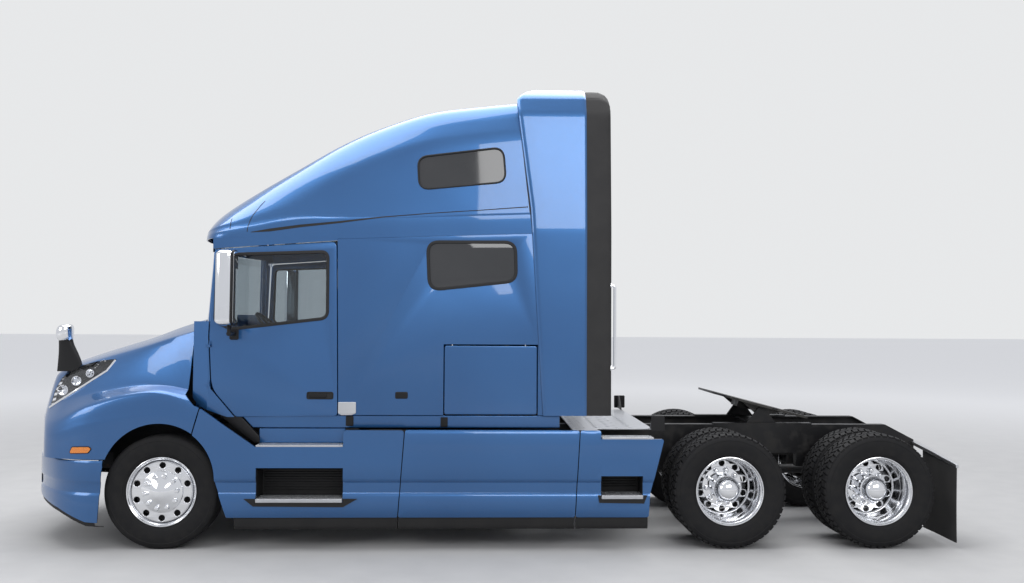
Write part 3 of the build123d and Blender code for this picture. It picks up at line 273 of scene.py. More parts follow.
# Lightly tinted cab glass
CLEAR = varied("clear_glass", (0.55, 0.6, 0.62), 0.02, mask=lambda f: f.noise(12.0), swing=(0.005, 0.02),
               **{"Transmission Weight": 1.0, "IOR": 1.45})
DARK = dark_glass()
# Clear lamp cover
LENS = varied("lens_glass", (0.95, 0.96, 0.98), 0.02, mask=lambda f: f.noise(25.0), swing=(0.01, 0.02),
              **{"Transmission Weight": 1.0, "IOR": 1.4})
AMBER = lens("amber_lens", (0.85, 0.25, 0.02))
RED = lens("red_lens", (0.55, 0.02, 0.02))
MIRROR = varied("mirror_glass", (0.8, 0.83, 0.85), 0.02, 1.0, mask=lambda f: f.noise(15.0), swing=(0.01, 0.03))
SEAT = woven_seat()
# Soft grained dashboard skin
DASH = varied("dash_skin", (0.05, 0.05, 0.055), 0.6, mask=lambda f: f.cells(300.0),
              colours=((0.03, 0.03, 0.034), (0.07, 0.07, 0.075)), bump=(None, 0.0008, 0.6))
# Rubber seals, and painted shade: the shadow in panel gaps, in the roof's fold and inside the grille
SEAM_AND_SHADE = varied("seam_and_shade_black", (0.006, 0.006, 0.007), 0.7, mask=lambda f: f.noise(40.0),
              colours=((0.004, 0.004, 0.005), (0.012, 0.012, 0.013)))

cad_finishes = (
    (PAINT, "bonnet cab_front side_walls roof rear_hoop side_fairings bumper rear_wall left_door right_door "
            "left_luggage_door right_luggage_door"),
    (BLACK, "black_panels bumper_grille grille cab_floor bonnet_mirror step_boxes"),
    (RUBBER, "extenders air_springs mud_flaps"),
    (CHASSIS, "frame_rails crossmembers frame_brackets springs_and_arms fifth_wheel_base"),
    (CAST, "axles engine tie_rod left_steering_knuckle right_steering_knuckle"),
    (GREASED, "fifth_wheel_plate"),
    (ALUMINIUM, "fuel_tanks radiator"),
    (TREAD, "step_treads deck_plate"),
    (CHROME, "bright_bars left_mirror_and_handle right_mirror_and_handle"),
    (CLEAR, "cab_glass left_door_glass right_door_glass"),
    (LENS, "headlamps"),
    (RED, "tail_lamps"),
    (DASH, "dashboard steering_wheel"),
    (SEAT, "seats_and_bunk"),
)
finish_of = {name: finish for finish, names in cad_finishes for name in names.split()}
for name, node in nodes.items():
    node.data.materials.clear()
    node.data.materials.append(finish_of.get(name, TYRE if "tyre" in name else WHEEL))


# Mesh building


# The nose's corners in plan: a slanted line from a station at the middle, which leans back above a height
NOSE_STATION, NOSE_SLANT, NOSE_LEAN, LEAN_Z = -1.545, 0.4717, 0.28, 1.1
NOSE_BLEND, BLEND_LIFT = 0.02, 0.004


def rounded_nose(mesh):
    """Draws the corners of the bonnet's nose back to the line they have in the photograph."""
    for vertex in mesh.vertices:
        s, y, z = vertex.co.x - FRONT_AXLE_X, abs(vertex.co.y), vertex.co.z
        over = NOSE_STATION + NOSE_SLANT * y + min(max(0.0, z - LEAN_Z), 0.35) * NOSE_LEAN - s
        if over > -NOSE_BLEND and s > -1.45 and z < 1.6:
            vertex.co.x += max(0.0, over) * 0.92 + BLEND_LIFT * max(0.0, 1.0 - abs(over) / NOSE_BLEND)


@contextlib.contextmanager
def editing(mesh):
    """The mesh as a bmesh, which is written back at the end."""
    shape = bmesh.new()
    shape.from_mesh(mesh)
    yield shape
    shape.to_mesh(mesh)
    shape.free()


def finished(name, mesh, finish, body="chassis", sharp=35.0, replaces=None):
    """Makes a piece of a mesh: smooth shading with sharp edges, its finish, its body and the node it stands for."""
    if body == "tilting_bonnet" and name != "lower_grille" and "mirror" not in name:
        rounded_nose(mesh)
    with editing(mesh) as shape:
        bmesh.ops.remove_doubles(shape, verts=shape.verts, dist=1e-5)
        bmesh.ops.recalc_face_normals(shape, faces=shape.faces)
    mesh.shade_smooth()
    mesh.set_sharp_from_angle(angle=math.radians(sharp))
    mesh.materials.clear()
    mesh.materials.append(finish)
    piece = bpy.data.objects.new(name, mesh)
    bpy.context.scene.collection.objects.link(piece)
    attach(piece, body)
    if replaces:
        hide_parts(replaces)
    return piece


def mesh_of(name, points, faces):
    mesh = bpy.data.meshes.new(name)
    mesh.from_pydata([tuple(point) for point in points], [], faces)
    return mesh


def grid_faces(rows, columns, closed=False):
    """Faces between rows of points, where closed joins the end of each row to its start."""
    faces = []
    for row in range(rows - 1):
        for step in range(columns if closed else columns - 1):
            a, b = row * columns + step, row * columns + (step + 1) % columns
            faces.append((a, b, b + columns, a + columns))
    return faces


def changed(mesh, *modifiers):
    """The mesh with modifiers applied, each given as its type and settings."""
    holder = bpy.data.objects.new("holder", mesh)
    bpy.context.scene.collection.objects.link(holder)
    for kind, settings in modifiers:
        modifier = holder.modifiers.new(kind, kind)
        for key, value in settings.items():
            setattr(modifier, key, value)
    depsgraph = bpy.context.evaluated_depsgraph_get()
    result = bpy.data.meshes.new_from_object(holder.evaluated_get(depsgraph))
    bpy.data.objects.remove(holder)
    return result


def solid(mesh, thickness, offset, **settings):
    """A sheet given thickness, inwards at an offset of -1 and outwards at 1."""
    return changed(mesh, ("SOLIDIFY", {"thickness": thickness, "offset": offset, **settings}))


def carved(mesh, cutters, operation="DIFFERENCE"):
    """The mesh with every cutter taken off, or kept only inside the cutter."""
    for cutter in cutters:
        tool = bpy.data.objects.new("cutter", cutter)
        bpy.context.scene.collection.objects.link(tool)
        for settings in ({"solver": "EXACT"}, {"solver": "EXACT", "use_self": True}, {"solver": "FAST"}):
            result = changed(mesh.copy(), ("BOOLEAN", {"operation": operation, "object": tool, **settings}))
            if len(result.polygons):
                break
        mesh = result
        bpy.data.objects.remove(tool)
    return mesh


def prism(outline, low_y, high_y):
    """A cutter from a side view outline of stations and heights, in metres."""
    near = [at(s, low_y, z) for s, z in outline]
    far = [at(s, high_y, z) for s, z in outline]
    count = len(outline)
    faces = [tuple(range(count)), tuple(range(2 * count - 1, count - 1, -1))]
    faces += [(i, i + count, (i + 1) % count + count, (i + 1) % count) for i in range(count)]
    mesh = mesh_of("prism", near + far, faces)
    with editing(mesh) as shape:
        bmesh.ops.recalc_face_normals(shape, faces=shape.faces)
    return mesh


def across(outline):
    """A cutter through the whole width."""
    return prism(outline, -1.5, 1.5)


def through(outline, side, low_y, high_y):
    """A cutter through one side of the truck."""
    return prism(outline, *sorted((side * low_y, side * high_y)))


def brick(stations, ys, zs):
    (a, b), (c, d) = stations, zs
    return prism([(a, c), (b, c), (b, d), (a, d)], min(ys), max(ys))


def rounded(points, radius, count=6):
    """A closed outline with its corners rounded; a radius per corner or one for all."""
    result = []
    total = len(points)
    for index, point in enumerate(points):
        size = radius[index] if isinstance(radius, (list, tuple)) else radius
        here = Vector(point)
        back, ahead = Vector(points[index - 1]) - here, Vector(points[(index + 1) % total]) - here
        reach = min(size / math.tan(back.angle(ahead) / 2) if size else 0.0, back.length * 0.48, ahead.length * 0.48)
        if reach < 1e-4:
            result.append(tuple(here))
            continue
        start, end = here + back.normalized() * reach, here + ahead.normalized() * reach
        for step in range(count + 1):
            t = step / count
            result.append(tuple(start.lerp(here, t).lerp(here.lerp(end, t), t)))
    return result


def grown(loop, amount):
    """An outline moved outwards by an amount, or inwards where it is negative."""
    area = sum(a[0] * b[1] - b[0] * a[1] for a, b in zip(loop, loop[1:] + loop[:1]))
    turn = 1.0 if area > 0 else -1.0
    result = []
    for index, point in enumerate(loop):
        here = Vector(point)
        back = (here - Vector(loop[index - 1])).normalized()
        ahead = (Vector(loop[(index + 1) % len(loop)]) - here).normalized()
        normals = [Vector((way.y, -way.x)) * turn for way in (back, ahead)]
        middle = (normals[0] + normals[1]).normalized()
        result.append(tuple(here + middle * amount / max(middle.dot(normals[0]), 0.3)))
    return result


def stepped(corners, count):
    """Points at equal steps along a line of corners, without the last one."""
    return [Vector(a).lerp(Vector(b), step / count) for a, b in zip(corners, corners[1:]) for step in range(count)]


def joined(*meshes):
    """One mesh of several."""
    shape = bmesh.new()
    for mesh in meshes:
        shape.from_mesh(mesh)
    result = bpy.data.meshes.new("joined")
    shape.to_mesh(result)
    shape.free()
    return result


def tube(points, radius, count=12, closed=False):
    """A round bar through points."""
    points = [Vector(point) for point in points]
    rings = []
    total = len(points)
    side = None
    for index, point in enumerate(points):
        if closed:
            way = points[(index + 1) % total] - points[index - 1]
        else:
            way = points[min(index + 1, total - 1)] - points[max(index - 1, 0)]
        way.normalize()
        if side is None:
            side = way.orthogonal().normalized()
        side = (side - way * side.dot(way)).normalized()
        up = way.cross(side)
        rings.append([point + radius * (side * math.cos(t) + up * math.sin(t))
                      for t in (2 * math.pi * step / count for step in range(count))])
    faces = []
    spans = total if closed else total - 1
    for ring in range(spans):
        for step in range(count):
            a, b = ring * count + step, ring * count + (step + 1) % count
            c = (ring + 1) % total * count
            faces.append((a, b, c + (step + 1) % count, c + step))
    if not closed:
        faces += [tuple(range(count)), tuple(range((total - 1) * count, total * count))]
    return mesh_of("tube", [point for ring in rings for point in ring], faces)


def turned(outline, station, y_middle, z, side, count=96):
    """A body turned about a wheel's axle: outline of outward offset and radius, closed on itself."""
    rings, faces = [], []
    size = len(outline)
    for step in range(count):
        t = 2 * math.pi * step / count
        rings += [at(station + r * math.cos(t), side * (y_middle + y), z + r * math.sin(t)) for y, r in outline]
    for step in range(count):
        a, b = step * size, (step + 1) % count * size
        faces += [(a + i, a + (i + 1) % size, b + (i + 1) % size, b + i) for i in range(size)]
    return mesh_of("turned", rings, faces)


def smooth_rows(rows, steps):
    """More rows between given ones, on a curve through them, each row of numbers."""
    result = []
    for index in range(len(rows) - 1):
        before, start = rows[max(index - 1, 0)], rows[index]
        end, after = rows[index + 1], rows[min(index + 2, len(rows) - 1)]
        for step in range(steps):
            t = step / steps
            row = []
            for p0, p1, p2, p3 in zip(before, start, end, after):
                row.append(0.5 * (2 * p1 + (p2 - p0) * t + (2 * p0 - 5 * p1 + 4 * p2 - p3) * t * t
                                  + (3 * p1 - p0 - 3 * p2 + p3) * t ** 3))
            result.append(row)
    result.append(list(rows[-1]))
    return result


def crisp(half, sizes):
    """A half section whose inner corners are each cut by a short chord, so that the curve stays near them."""
    result = [half[0]]
    for index in range(1, len(half) - 1):
        here = Vector(half[index])
        for other in (half[index - 1], half[index + 1]):
            way = Vector(other) - here
            reach = min(sizes[index - 1], way.length * 0.4)
            result.append(tuple(here + way.normalized() * reach) if way.length > 1e-6 else tuple(here))
    result.append(half[-1])
    return result


def skin(sections, spans, rows):
    """A closed shell's outer skin through cross sections (station, right half from the top down), with a flat front."""
    flat = [[station] + [number for point in half for number in point] for station, half in sections]
    dense = smooth_rows(flat, rows)
    outlines = []
    for station, *numbers in dense:
        half = list(zip(numbers[0::2], numbers[1::2]))
        soft = smooth_rows([(-half[1][0], half[1][1])] + half, spans)[spans:]
        soft[0][0] = 0.0
        outlines.append([(station, y, z) for y, z in soft])
    return outlines


def shell(outlines, thickness):
    """The skin of both sides as one sheet with thickness drawn inwards, closed in front."""
    width = 2 * len(outlines[0]) - 1
    points = []
    for outline in outlines:
        left = [(s, -y, z) for s, y, z in reversed(outline[1:])]
        points += [at(*point) for point in left + outline]
    mesh = mesh_of("shell", points, grid_faces(len(outlines), width) + [tuple(range(width))])
    with editing(mesh) as shape:
        bmesh.ops.recalc_face_normals(shape, faces=shape.faces)
        if max(shape.faces, key=lambda face: face.calc_center_median().z).normal.z < 0:
            bmesh.ops.reverse_faces(shape, faces=shape.faces)
    return solid(mesh, thickness, -1.0, use_even_offset=False) if thickness else mesh


def shifted(outlines, back=0.0, out=0.0, up=0.0):
    """The sections moved rearwards, outwards and up, with the crown line kept in the middle."""
    return [[(s + back, y + (out if y else 0.0), z + up) for s, y, z in row] for row in outlines]


def patch(outlines, loop, side, inner_y, out, thickness):
    """A patch with an outline, laid on the side of a skin and a little proud of it."""
    return carved(shell(shifted(outlines, out=out), thickness), [through(loop, side, inner_y, 1.4)], "INTERSECT")


def tree_of(mesh):
    return BVHTree.FromPolygons([v.co for v in mesh.vertices], [f.vertices for f in mesh.polygons])


def from_side(tree, station, z, side):
    """Where a skin is, seen from one side."""
    return tree.ray_cast(at(station, side * 3.0, z), Vector((0, -side, 0)))[0]


# Bonnet: the source's cross sections, in metres.
# Columns: station, crown z, deck y, deck z, shoulder y, shoulder z,
# fender inner y, fender inner z, fender outer y, fender outer z, foot y
bonnet_table = [
    (-1.325, 1.000, 0.250, 1.000, 0.380, 0.980, 0.420, 0.940, 0.450, 0.900, 0.460),
    (-1.290, 1.180, 0.380, 1.175, 0.560, 1.120, 0.620, 1.040, 0.650, 0.980, 0.660),
    (-1.240, 1.370, 0.430, 1.360, 0.620, 1.300, 0.720, 1.130, 0.770, 1.010, 0.790),
    (-1.160, 1.500, 0.450, 1.490, 0.650, 1.440, 0.800, 1.180, 0.890, 1.040, 0.915),
    (-1.060, 1.575, 0.470, 1.560, 0.700, 1.500, 0.880, 1.215, 1.010, 1.060, 1.040),
    (-0.900, 1.640, 0.490, 1.620, 0.750, 1.550, 0.970, 1.260, 1.120, 1.100, 1.150),
    (-0.650, 1.725, 0.520, 1.700, 0.810, 1.625, 1.020, 1.330, 1.190, 1.215, 1.215),
    (-0.300, 1.835, 0.570, 1.805, 0.890, 1.720, 1.045, 1.390, 1.205, 1.320, 1.220),
    (0.000, 1.945, 0.610, 1.915, 0.960, 1.810, 1.060, 1.400, 1.210, 1.345, 1.220),
    (0.330, 2.055, 0.660, 2.015, 1.050, 1.900, 1.090, 1.350, 1.210, 1.235, 1.220),
]
BONNET_BOTTOM = 0.776
bonnet_sections = []
for station, crown, *pairs in bonnet_table:
    foot = pairs.pop()
    points = list(zip(pairs[0::2], pairs[1::2]))
    last_z = points[-1][1]
    below = [(foot, last_z - 0.35 * (last_z - BONNET_BOTTOM)), (foot, BONNET_BOTTOM)]
    half = crisp([(0.0, crown)] + points + below, (0.07, 0.05, 0.035, 0.03, 0.03))
    bonnet_sections.append((station, half))
bonnet_outlines = skin(bonnet_sections, 3, 6)
bonnet_body = shell(bonnet_outlines, 0.012)
bonnet_tree = tree_of(shell(bonnet_outlines, 0.0))


def from_front(y, z):
    """Where the bonnet's skin is, seen from the front."""
    return bonnet_tree.ray_cast(Vector((-6.0, y, z)), Vector((1, 0, 0)))[0]


arch_outline = [(-0.516, 0.2), (-0.492, 0.6)]
arch_outline += [(-0.010 - 0.482 * math.cos(t), 0.6 + 0.482 * math.sin(t))
                 for t in (math.pi * step / 48 for step in range(1, 48))]
arch_outline += [(0.472, 0.6), (0.604, 0.2)]
bonnet_rear = [(0.235, 2.2), (0.228, 1.925), (0.19, 1.326), (0.279, 1.235), (0.325, 1.215), (0.268, 1.006),
               (0.268, 0.7), (0.9, 0.7), (0.9, 2.2)]
lamp_outline = [(-1.090, 1.180), (-1.085, 1.330), (-1.045, 1.440), (-0.965, 1.510), (-0.843, 1.560), (-0.685, 1.600),
                (-0.508, 1.620), (-0.577, 1.509), (-0.708, 1.420), (-0.925, 1.276)]
lamp_loop = rounded(lamp_outline, [0.02, 0.03, 0.05, 0.05, 0.05, 0.05, 0.01, 0.05, 0.05, 0.05])
cuts = [across(arch_outline), across(bonnet_rear),
        brick((-1.45, -1.12), (-0.5, 0.5), (0.81, 1.42))]
cuts += [through(lamp_loop, side, 0.56, 1.3) for _, side in SIDES]
finished("bonnet_skin", carved(bonnet_body, cuts), PAINT, "tilting_bonnet", sharp=28.0, replaces="bonnet")

# Headlamps: a clear cover, a black bowl behind it with bright reflectors, and a bright lower trim
lamp_edge = [lamp_outline[0], (-1.010, 1.226), (-0.925, 1.276), (-0.815, 1.346), (-0.708, 1.420), (-0.577, 1.509),
             (-0.512, 1.615)]
for name, side in SIDES:
    zone = through(lamp_loop, side, 0.56, 1.3)
    cover = carved(shell(bonnet_outlines, 0.005), [zone], "INTERSECT")
    finished(name + "_lamp_cover", cover, LENS, "tilting_bonnet", sharp=40.0,
             replaces="headlamps" if side < 0 else None)
    bowl = carved(shell(shifted(bonnet_outlines, 0.03, -0.05), 0.006), [zone], "INTERSECT")
    finished(name + "_lamp_bowl", bowl, BLACK, "tilting_bonnet", sharp=40.0)
    reflectors = []
    for station, z, radius in ((-1.00, 1.335, 0.048), (-0.875, 1.420, 0.044), (-0.755, 1.488, 0.038)):
        profile = [(0.0, radius), (0.006, radius), (0.006, radius - 0.006), (-0.03, 0.01), (-0.034, 0.0),
                   (-0.04, 0.0), (-0.012, radius)]
        skin_y = abs(from_side(bonnet_tree, station, z, side).y)
        reflectors.append(turned(profile, station, skin_y - 0.028, z, side, 32))
    finished(name + "_lamp_reflectors", joined(*reflectors), CHROME, "tilting_bonnet", sharp=30.0)
    path = [from_side(bonnet_tree, s, z + 0.006, side) + Vector((0, side * 0.002, 0))
            for s, z in stepped(lamp_edge, 8)]
    finished(name + "_lamp_trim", tube(path, 0.011, 8), CHROME, "tilting_bonnet")

# Grille: slats between two posts inside a bright frame, all following the nose
slats = []
for row in range(12):
    z = 0.85 + row * 0.049
    path = [from_front(y, z) + Vector((0.02, 0, 0)) for y in (-0.48 + 0.04 * step for step in range(25))]
    slats.append(tube(path, 0.012, 8))
for y in (-0.33, -0.165, 0.0, 0.165, 0.33):
    slats.append(tube([from_front(y, z) + Vector((0.032, 0, 0)) for z in (0.82 + 0.03 * step for step in range(20))],
                      0.009, 6))
# Painted shade: a dark sheet behind the slats for the shade inside the grille
grille_shade_sheet = shell(shifted(bonnet_outlines, 0.06, up=-0.02), 0.006)
finished("grille_mesh", joined(*slats), BLACK, "tilting_bonnet")
finished("grille_shade_back", carved(grille_shade_sheet, [brick((-1.45, -1.0), (-0.5, 0.5), (0.81, 1.42))], "INTERSECT"), SEAM_AND_SHADE,
         "tilting_bonnet")
corners = [(-0.497, 0.813), (0.497, 0.813), (0.497, 1.417), (-0.497, 1.417), (-0.497, 0.813)]
frame_path = [from_front(y, z) for y, z in stepped(corners, 16)]
finished("grille_frame", tube(frame_path, 0.014, 8, True), CHROME, "tilting_bonnet")

# Roof: the source's cross sections, in metres.
# Columns: station, crown z, shoulder y, shoulder z, edge y, edge z, foot y
roof_table = [
    (0.205, 2.760, 0.380, 2.755, 0.520, 2.735, 0.560),
    (0.260, 2.870, 0.600, 2.840, 0.800, 2.780, 0.850),
    (0.400, 3.010, 0.720, 2.960, 1.000, 2.830, 1.080),
    (0.700, 3.195, 0.800, 3.140, 1.040, 2.950, 1.115),
    (1.100, 3.430, 0.850, 3.365, 1.055, 3.120, 1.120),
    (1.450, 3.630, 0.880, 3.560, 1.058, 3.290, 1.120),
    (1.800, 3.785, 0.900, 3.715, 1.060, 3.430, 1.120),
    (2.250, 3.930, 0.920, 3.860, 1.065, 3.560, 1.120),
    (2.700, 3.985, 0.930, 3.925, 1.070, 3.620, 1.120),
    (3.200, 4.025, 0.940, 3.975, 1.070, 3.670, 1.120),
]


def roof_foot(station):
    return 2.690 + max(0.0, station - 1.477) * 0.036


roof_sections = []
for station, crown, shoulder_y, shoulder_z, edge_y, edge_z, foot in roof_table:
    rise = edge_z - roof_foot(station)
    line_z = roof_foot(station) + min(0.20, 0.45 * rise)
    half = [(0.0, crown), (shoulder_y * 0.55, crown * 0.6 + shoulder_z * 0.4), (shoulder_y, shoulder_z),
            (edge_y, edge_z),
            (foot + (edge_y - foot) * 0.30, line_z), (foot, line_z - min(0.03, 0.2 * rise)), (foot, roof_foot(station))]
    roof_sections.append((station, crisp(half, (0.2, 0.07, 0.09, 0.025, 0.02))))
roof_outlines = skin(roof_sections, 3, 6)
roof_body = shell(roof_outlines, 0.0)
with editing(roof_body) as shape:
    bmesh.ops.bisect_plane(shape, geom=shape.verts[:] + shape.edges[:] + shape.faces[:],
                           plane_co=at(3.181, 0.0, 2.984),
                           plane_no=(0.966, 0.0, 0.127), clear_outer=True)
roof_body = solid(roof_body, 0.01, -1.0, use_even_offset=False)
roof_tree = tree_of(roof_body)
upper_loop = rounded([(2.190, 3.140), (2.950, 3.215), (2.925, 3.520), (2.175, 3.425)], 0.09, 8)
lower_loop = rounded([(2.285, 2.245), (3.050, 2.330), (3.040, 2.674), (2.265, 2.670)], 0.10, 8)
cuts = [through(upper_loop, side, 0.9, 1.3) for _, side in SIDES]
finished("roof_skin", carved(roof_body, cuts), PAINT, sharp=30.0, replaces="roof")


def sheet(loops, depth, bevel):
    """A flat sheet with bevelled edges in its own X and Y, the first loop its edge and the others holes."""
    curve = bpy.data.curves.new("sheet", "CURVE")
    curve.dimensions = "2D"
    curve.fill_mode = "BOTH"
    curve.extrude = depth / 2 - bevel
    curve.bevel_depth = bevel
    curve.bevel_resolution = 2
    curve.offset = -bevel
    for loop in loops:
        spline = curve.splines.new("POLY")
        spline.points.add(len(loop) - 1)
        for point, (x, y) in zip(spline.points, loop):
            point.co = (x, y, 0.0, 1.0)
        spline.use_cyclic_u = True
    holder = bpy.data.objects.new("sheet", curve)
    bpy.context.scene.collection.objects.link(holder)
    depsgraph = bpy.context.evaluated_depsgraph_get()
    mesh = bpy.data.meshes.new_from_object(holder.evaluated_get(depsgraph))
    bpy.data.objects.remove(holder)
    return mesh


def side_sheet(loops, y_face, depth, bevel, side):
    """A sheet in side view whose outer skin is y_face from the middle."""
    mesh = sheet(loops, depth, bevel)
    mesh.transform(Matrix(((1, 0, 0, FRONT_AXLE_X), (0, 0, 1, side * (y_face - depth / 2)), (0, 1, 0, 0),
                           (0, 0, 0, 1))))
    return mesh


def both_sides(loops, y_face, depth, bevel):
    """The same sheet on both sides of the truck."""
    return joined(*[side_sheet(loops, y_face, depth, bevel, side) for _, side in SIDES])


def front_sheet(loops, station, depth, bevel):
    """A sheet in front view, its middle at a station."""
    mesh = sheet(loops, depth, bevel)
    mesh.transform(Matrix(((0, 0, 1, FRONT_AXLE_X + station), (1, 0, 0, 0), (0, 1, 0, 0), (0, 0, 0, 1))))
    return mesh


def top_sheet(loops, z, depth, bevel):
    """A sheet in plan, from stations and Y, its middle at a height."""
    mesh = sheet(loops, depth, bevel)
    mesh.transform(Matrix(((1, 0, 0, FRONT_AXLE_X), (0, 1, 0, 0), (0, 0, 1, z), (0, 0, 0, 1))))
    return mesh


def rectangle(low_a, high_a, low_b, high_b, radius=0.0):
    return rounded([(low_a, low_b), (high_a, low_b), (high_a, high_b), (low_a, high_b)], radius)


def circle(x, y, radius, count=32):
    turns = [2 * math.pi * step / count for step in range(count)]
    return [(x + radius * math.cos(t), y + radius * math.sin(t)) for t in turns]


# Doors with window seals, handles and mirrors
door_outline = [(0.407, 2.589), (0.375, 1.834), (0.402, 1.378), (0.615, 1.130), (1.494, 1.140), (1.469, 2.667)]
door_window = [(0.440, 2.540), (0.425, 1.960), (0.560, 1.895), (1.395, 1.995), (1.393, 2.575)]
door_loop = rounded(door_outline, [0.05, 0.4, 0.25, 0.05, 0.03, 0.05])
window_hole = rounded(door_window, [0.05, 0.06, 0.12, 0.07, 0.06])
handle_loop = rectangle(1.225, 1.458, 1.285, 1.351, 0.02)
mirror_head = rounded([(1.262, 1.914), (1.440, 1.930), (1.432, 2.560), (1.275, 2.573)], 0.05)
mirror_glass = rounded([(1.276, 1.930), (1.428, 1.944), (1.420, 2.546), (1.288, 2.558)], 0.04)
for name, side in SIDES:
    body = name + "_cab_door"
    finished(name + "_door_panel", side_sheet([door_loop, window_hole], CAB_Y, 0.054, 0.006, side), PAINT, body,
             sharp=30.0, replaces=name + "_door")
    seal = side_sheet([grown(window_hole, 0.016), grown(window_hole, -0.012)], CAB_Y + 0.004, 0.030, 0.003, side)
    finished(name + "_window_seal", seal, SEAM_AND_SHADE, body)
    cup = side_sheet([handle_loop, grown(handle_loop, -0.012)], CAB_Y + 0.006, 0.012, 0.003, side)
    paddle = side_sheet([rectangle(1.245, 1.40, 1.300, 1.336, 0.012)], CAB_Y + 0.008, 0.012, 0.004, side)
    finished(name + "_handle", joined(cup, paddle), BLACK, body, replaces=name + "_mirror_and_handle")
    finished(name + "_handle_floor", side_sheet([grown(handle_loop, -0.006)], CAB_Y + 0.002, 0.006, 0.001, side),
             SEAM_AND_SHADE, body)
    head, glass = ([(side * y, z) for y, z in line] for line in (mirror_head, mirror_glass))
    finished(name + "_mirror_head", front_sheet([head], 0.576, 0.154, 0.048), CHROME, body, sharp=40.0)
    finished(name + "_mirror_rim", front_sheet([head], 0.648, 0.018, 0.006), BLACK, body)
    finished(name + "_mirror_glass", front_sheet([glass], 0.657, 0.006, 0.001), MIRROR, body)
    arms = []
    for z in (1.855, 2.530):
        arms.append(tube([at(0.590, side * 1.112, z), at(0.590, side * 1.19, z), at(0.592, side * 1.30, z)], 0.020))
    arms.append(tube([at(0.592, side * 1.285, 1.845), at(0.592, side * 1.285, 1.925)], 0.018))
    arms.append(side_sheet([rectangle(0.552, 0.632, 1.80, 1.90, 0.02)], CAB_Y + 0.012, 0.014, 0.004, side))
    finished(name + "_mirror_arms", joined(*arms), BLACK, body)

# Sleeper walls, luggage doors and their latches
wall_loop = [(1.500, 1.148), (2.416, 1.148), (2.416, 1.769), (3.243, 1.769), (3.243, 1.148), (3.295, 1.148),
             (3.192, roof_foot(3.192)), (1.477, roof_foot(1.477))]
luggage_loop = rectangle(2.424, 3.235, 1.156, 1.757, 0.02)
finished("sleeper_walls", both_sides([wall_loop, lower_loop], CAB_Y, 0.060, 0.004), PAINT, sharp=30.0,
         replaces="side_walls")
for name, side in SIDES:
    finished(name + "_luggage_panel", side_sheet([luggage_loop], CAB_Y, 0.040, 0.005, side), PAINT,
             name + "_side_locker", sharp=30.0, replaces=name + "_luggage_door")
latch_loop = rectangle(1.995, 2.105, 1.292, 1.352, 0.014)
finished("side_latches", both_sides([latch_loop], CAB_Y + 0.006, 0.012, 0.004), BLACK)
seals = both_sides([grown(lower_loop, 0.014), grown(lower_loop, -0.012)], CAB_Y + 0.004, 0.020, 0.003)
finished("sleeper_window_seals", seals, SEAM_AND_SHADE)

# Glass: the curved windscreen, the sleeper's side windows and those in the roof
screen = []
SCREEN_ROWS, SCREEN_STEPS = 8, 28
for row in range(SCREEN_ROWS + 1):
    z = 2.032 + 0.586 * row / SCREEN_ROWS
    up = (z - 1.960) / 0.730
    front, corner_s, corner_y = 0.170 + 0.065 * up, 0.370 + 0.045 * up, 1.040 - 0.030 * up
    half_y = 0.928 - 0.070 * (z - 2.030) / 0.590
    for step in range(SCREEN_STEPS + 1):
        y = half_y * (2 * step / SCREEN_STEPS - 1)
        screen.append(at(front + (corner_s - front) * (y / corner_y) ** 2, y, z))
windscreen = solid(mesh_of("windscreen", screen, grid_faces(SCREEN_ROWS + 1, SCREEN_STEPS + 1)), 0.006, -1.0)
finished("windscreen", windscreen, CLEAR, sharp=40.0, replaces="cab_glass")
side_glass = [both_sides([grown(lower_loop, -0.001)], CAB_Y - 0.006, 0.006, 0.001)]
inner_roof = shell([[(s, y * 0.994, z) for s, y, z in row] for row in roof_outlines], 0.006)
side_glass += [carved(inner_roof.copy(), [through(grown(upper_loop, -0.001), side, 0.9, 1.3)], "INTERSECT")
               for _, side in SIDES]
finished("sleeper_windows", joined(*side_glass), DARK, sharp=40.0)
roof_seals = []
for _, side in SIDES:
    spots = [from_side(roof_tree, s, z, side) for s, z in grown(upper_loop, 0.004)]
    roof_seals.append(tube([spot for spot in spots if spot], 0.009, 8, True))
finished("roof_window_seals", joined(*roof_seals), SEAM_AND_SHADE)

# Rear hoop of the body: a rounded outline between a slanted seam and the black extenders
hoop_half = [(0.0, 4.112), (0.880, 4.085), (1.000, 3.990), (1.060, 3.830), (1.126, 2.780), (1.126, 1.148)]
HOOP_REAR = 3.665
hoop_front = [(1.100, 3.306), (2.984, 3.187), (3.950, 3.060), (4.030, 3.100), (4.075, 3.200), (4.300, 3.200)]
hoop_corners = [(-y, z) for y, z in reversed(hoop_half[1:])] + hoop_half[1:]
corner_radii = [0.0, 1.2, 0.25, 0.12, 0.3]
hoop_round = rounded(hoop_corners, corner_radii + corner_radii[::-1], 8)


def front_of_hoop(z):
    for (low, first), (high, second) in zip(hoop_front, hoop_front[1:]):
        if z <= high:
            return first + (second - first) * (z - low) / (high - low)
    return hoop_front[-1][1]


hoop_line = []
for (y0, z0), (y1, z1) in zip(hoop_round, hoop_round[1:]):
    count = max(1, int(math.hypot(y1 - y0, z1 - z0) / 0.08))
    hoop_line += [(y0 + (y1 - y0) * i / count, z0 + (z1 - z0) * i / count) for i in range(count)]
hoop_line.append(hoop_round[-1])


def inset_at(station, y, z, inset, drop=0.0):
    """A point of the hoop's outline drawn inwards."""
    return at(station, y * ((abs(y) - inset) / abs(y) if y else 1.0), z - drop - (inset if abs(y) < 1.0 else 0.0))


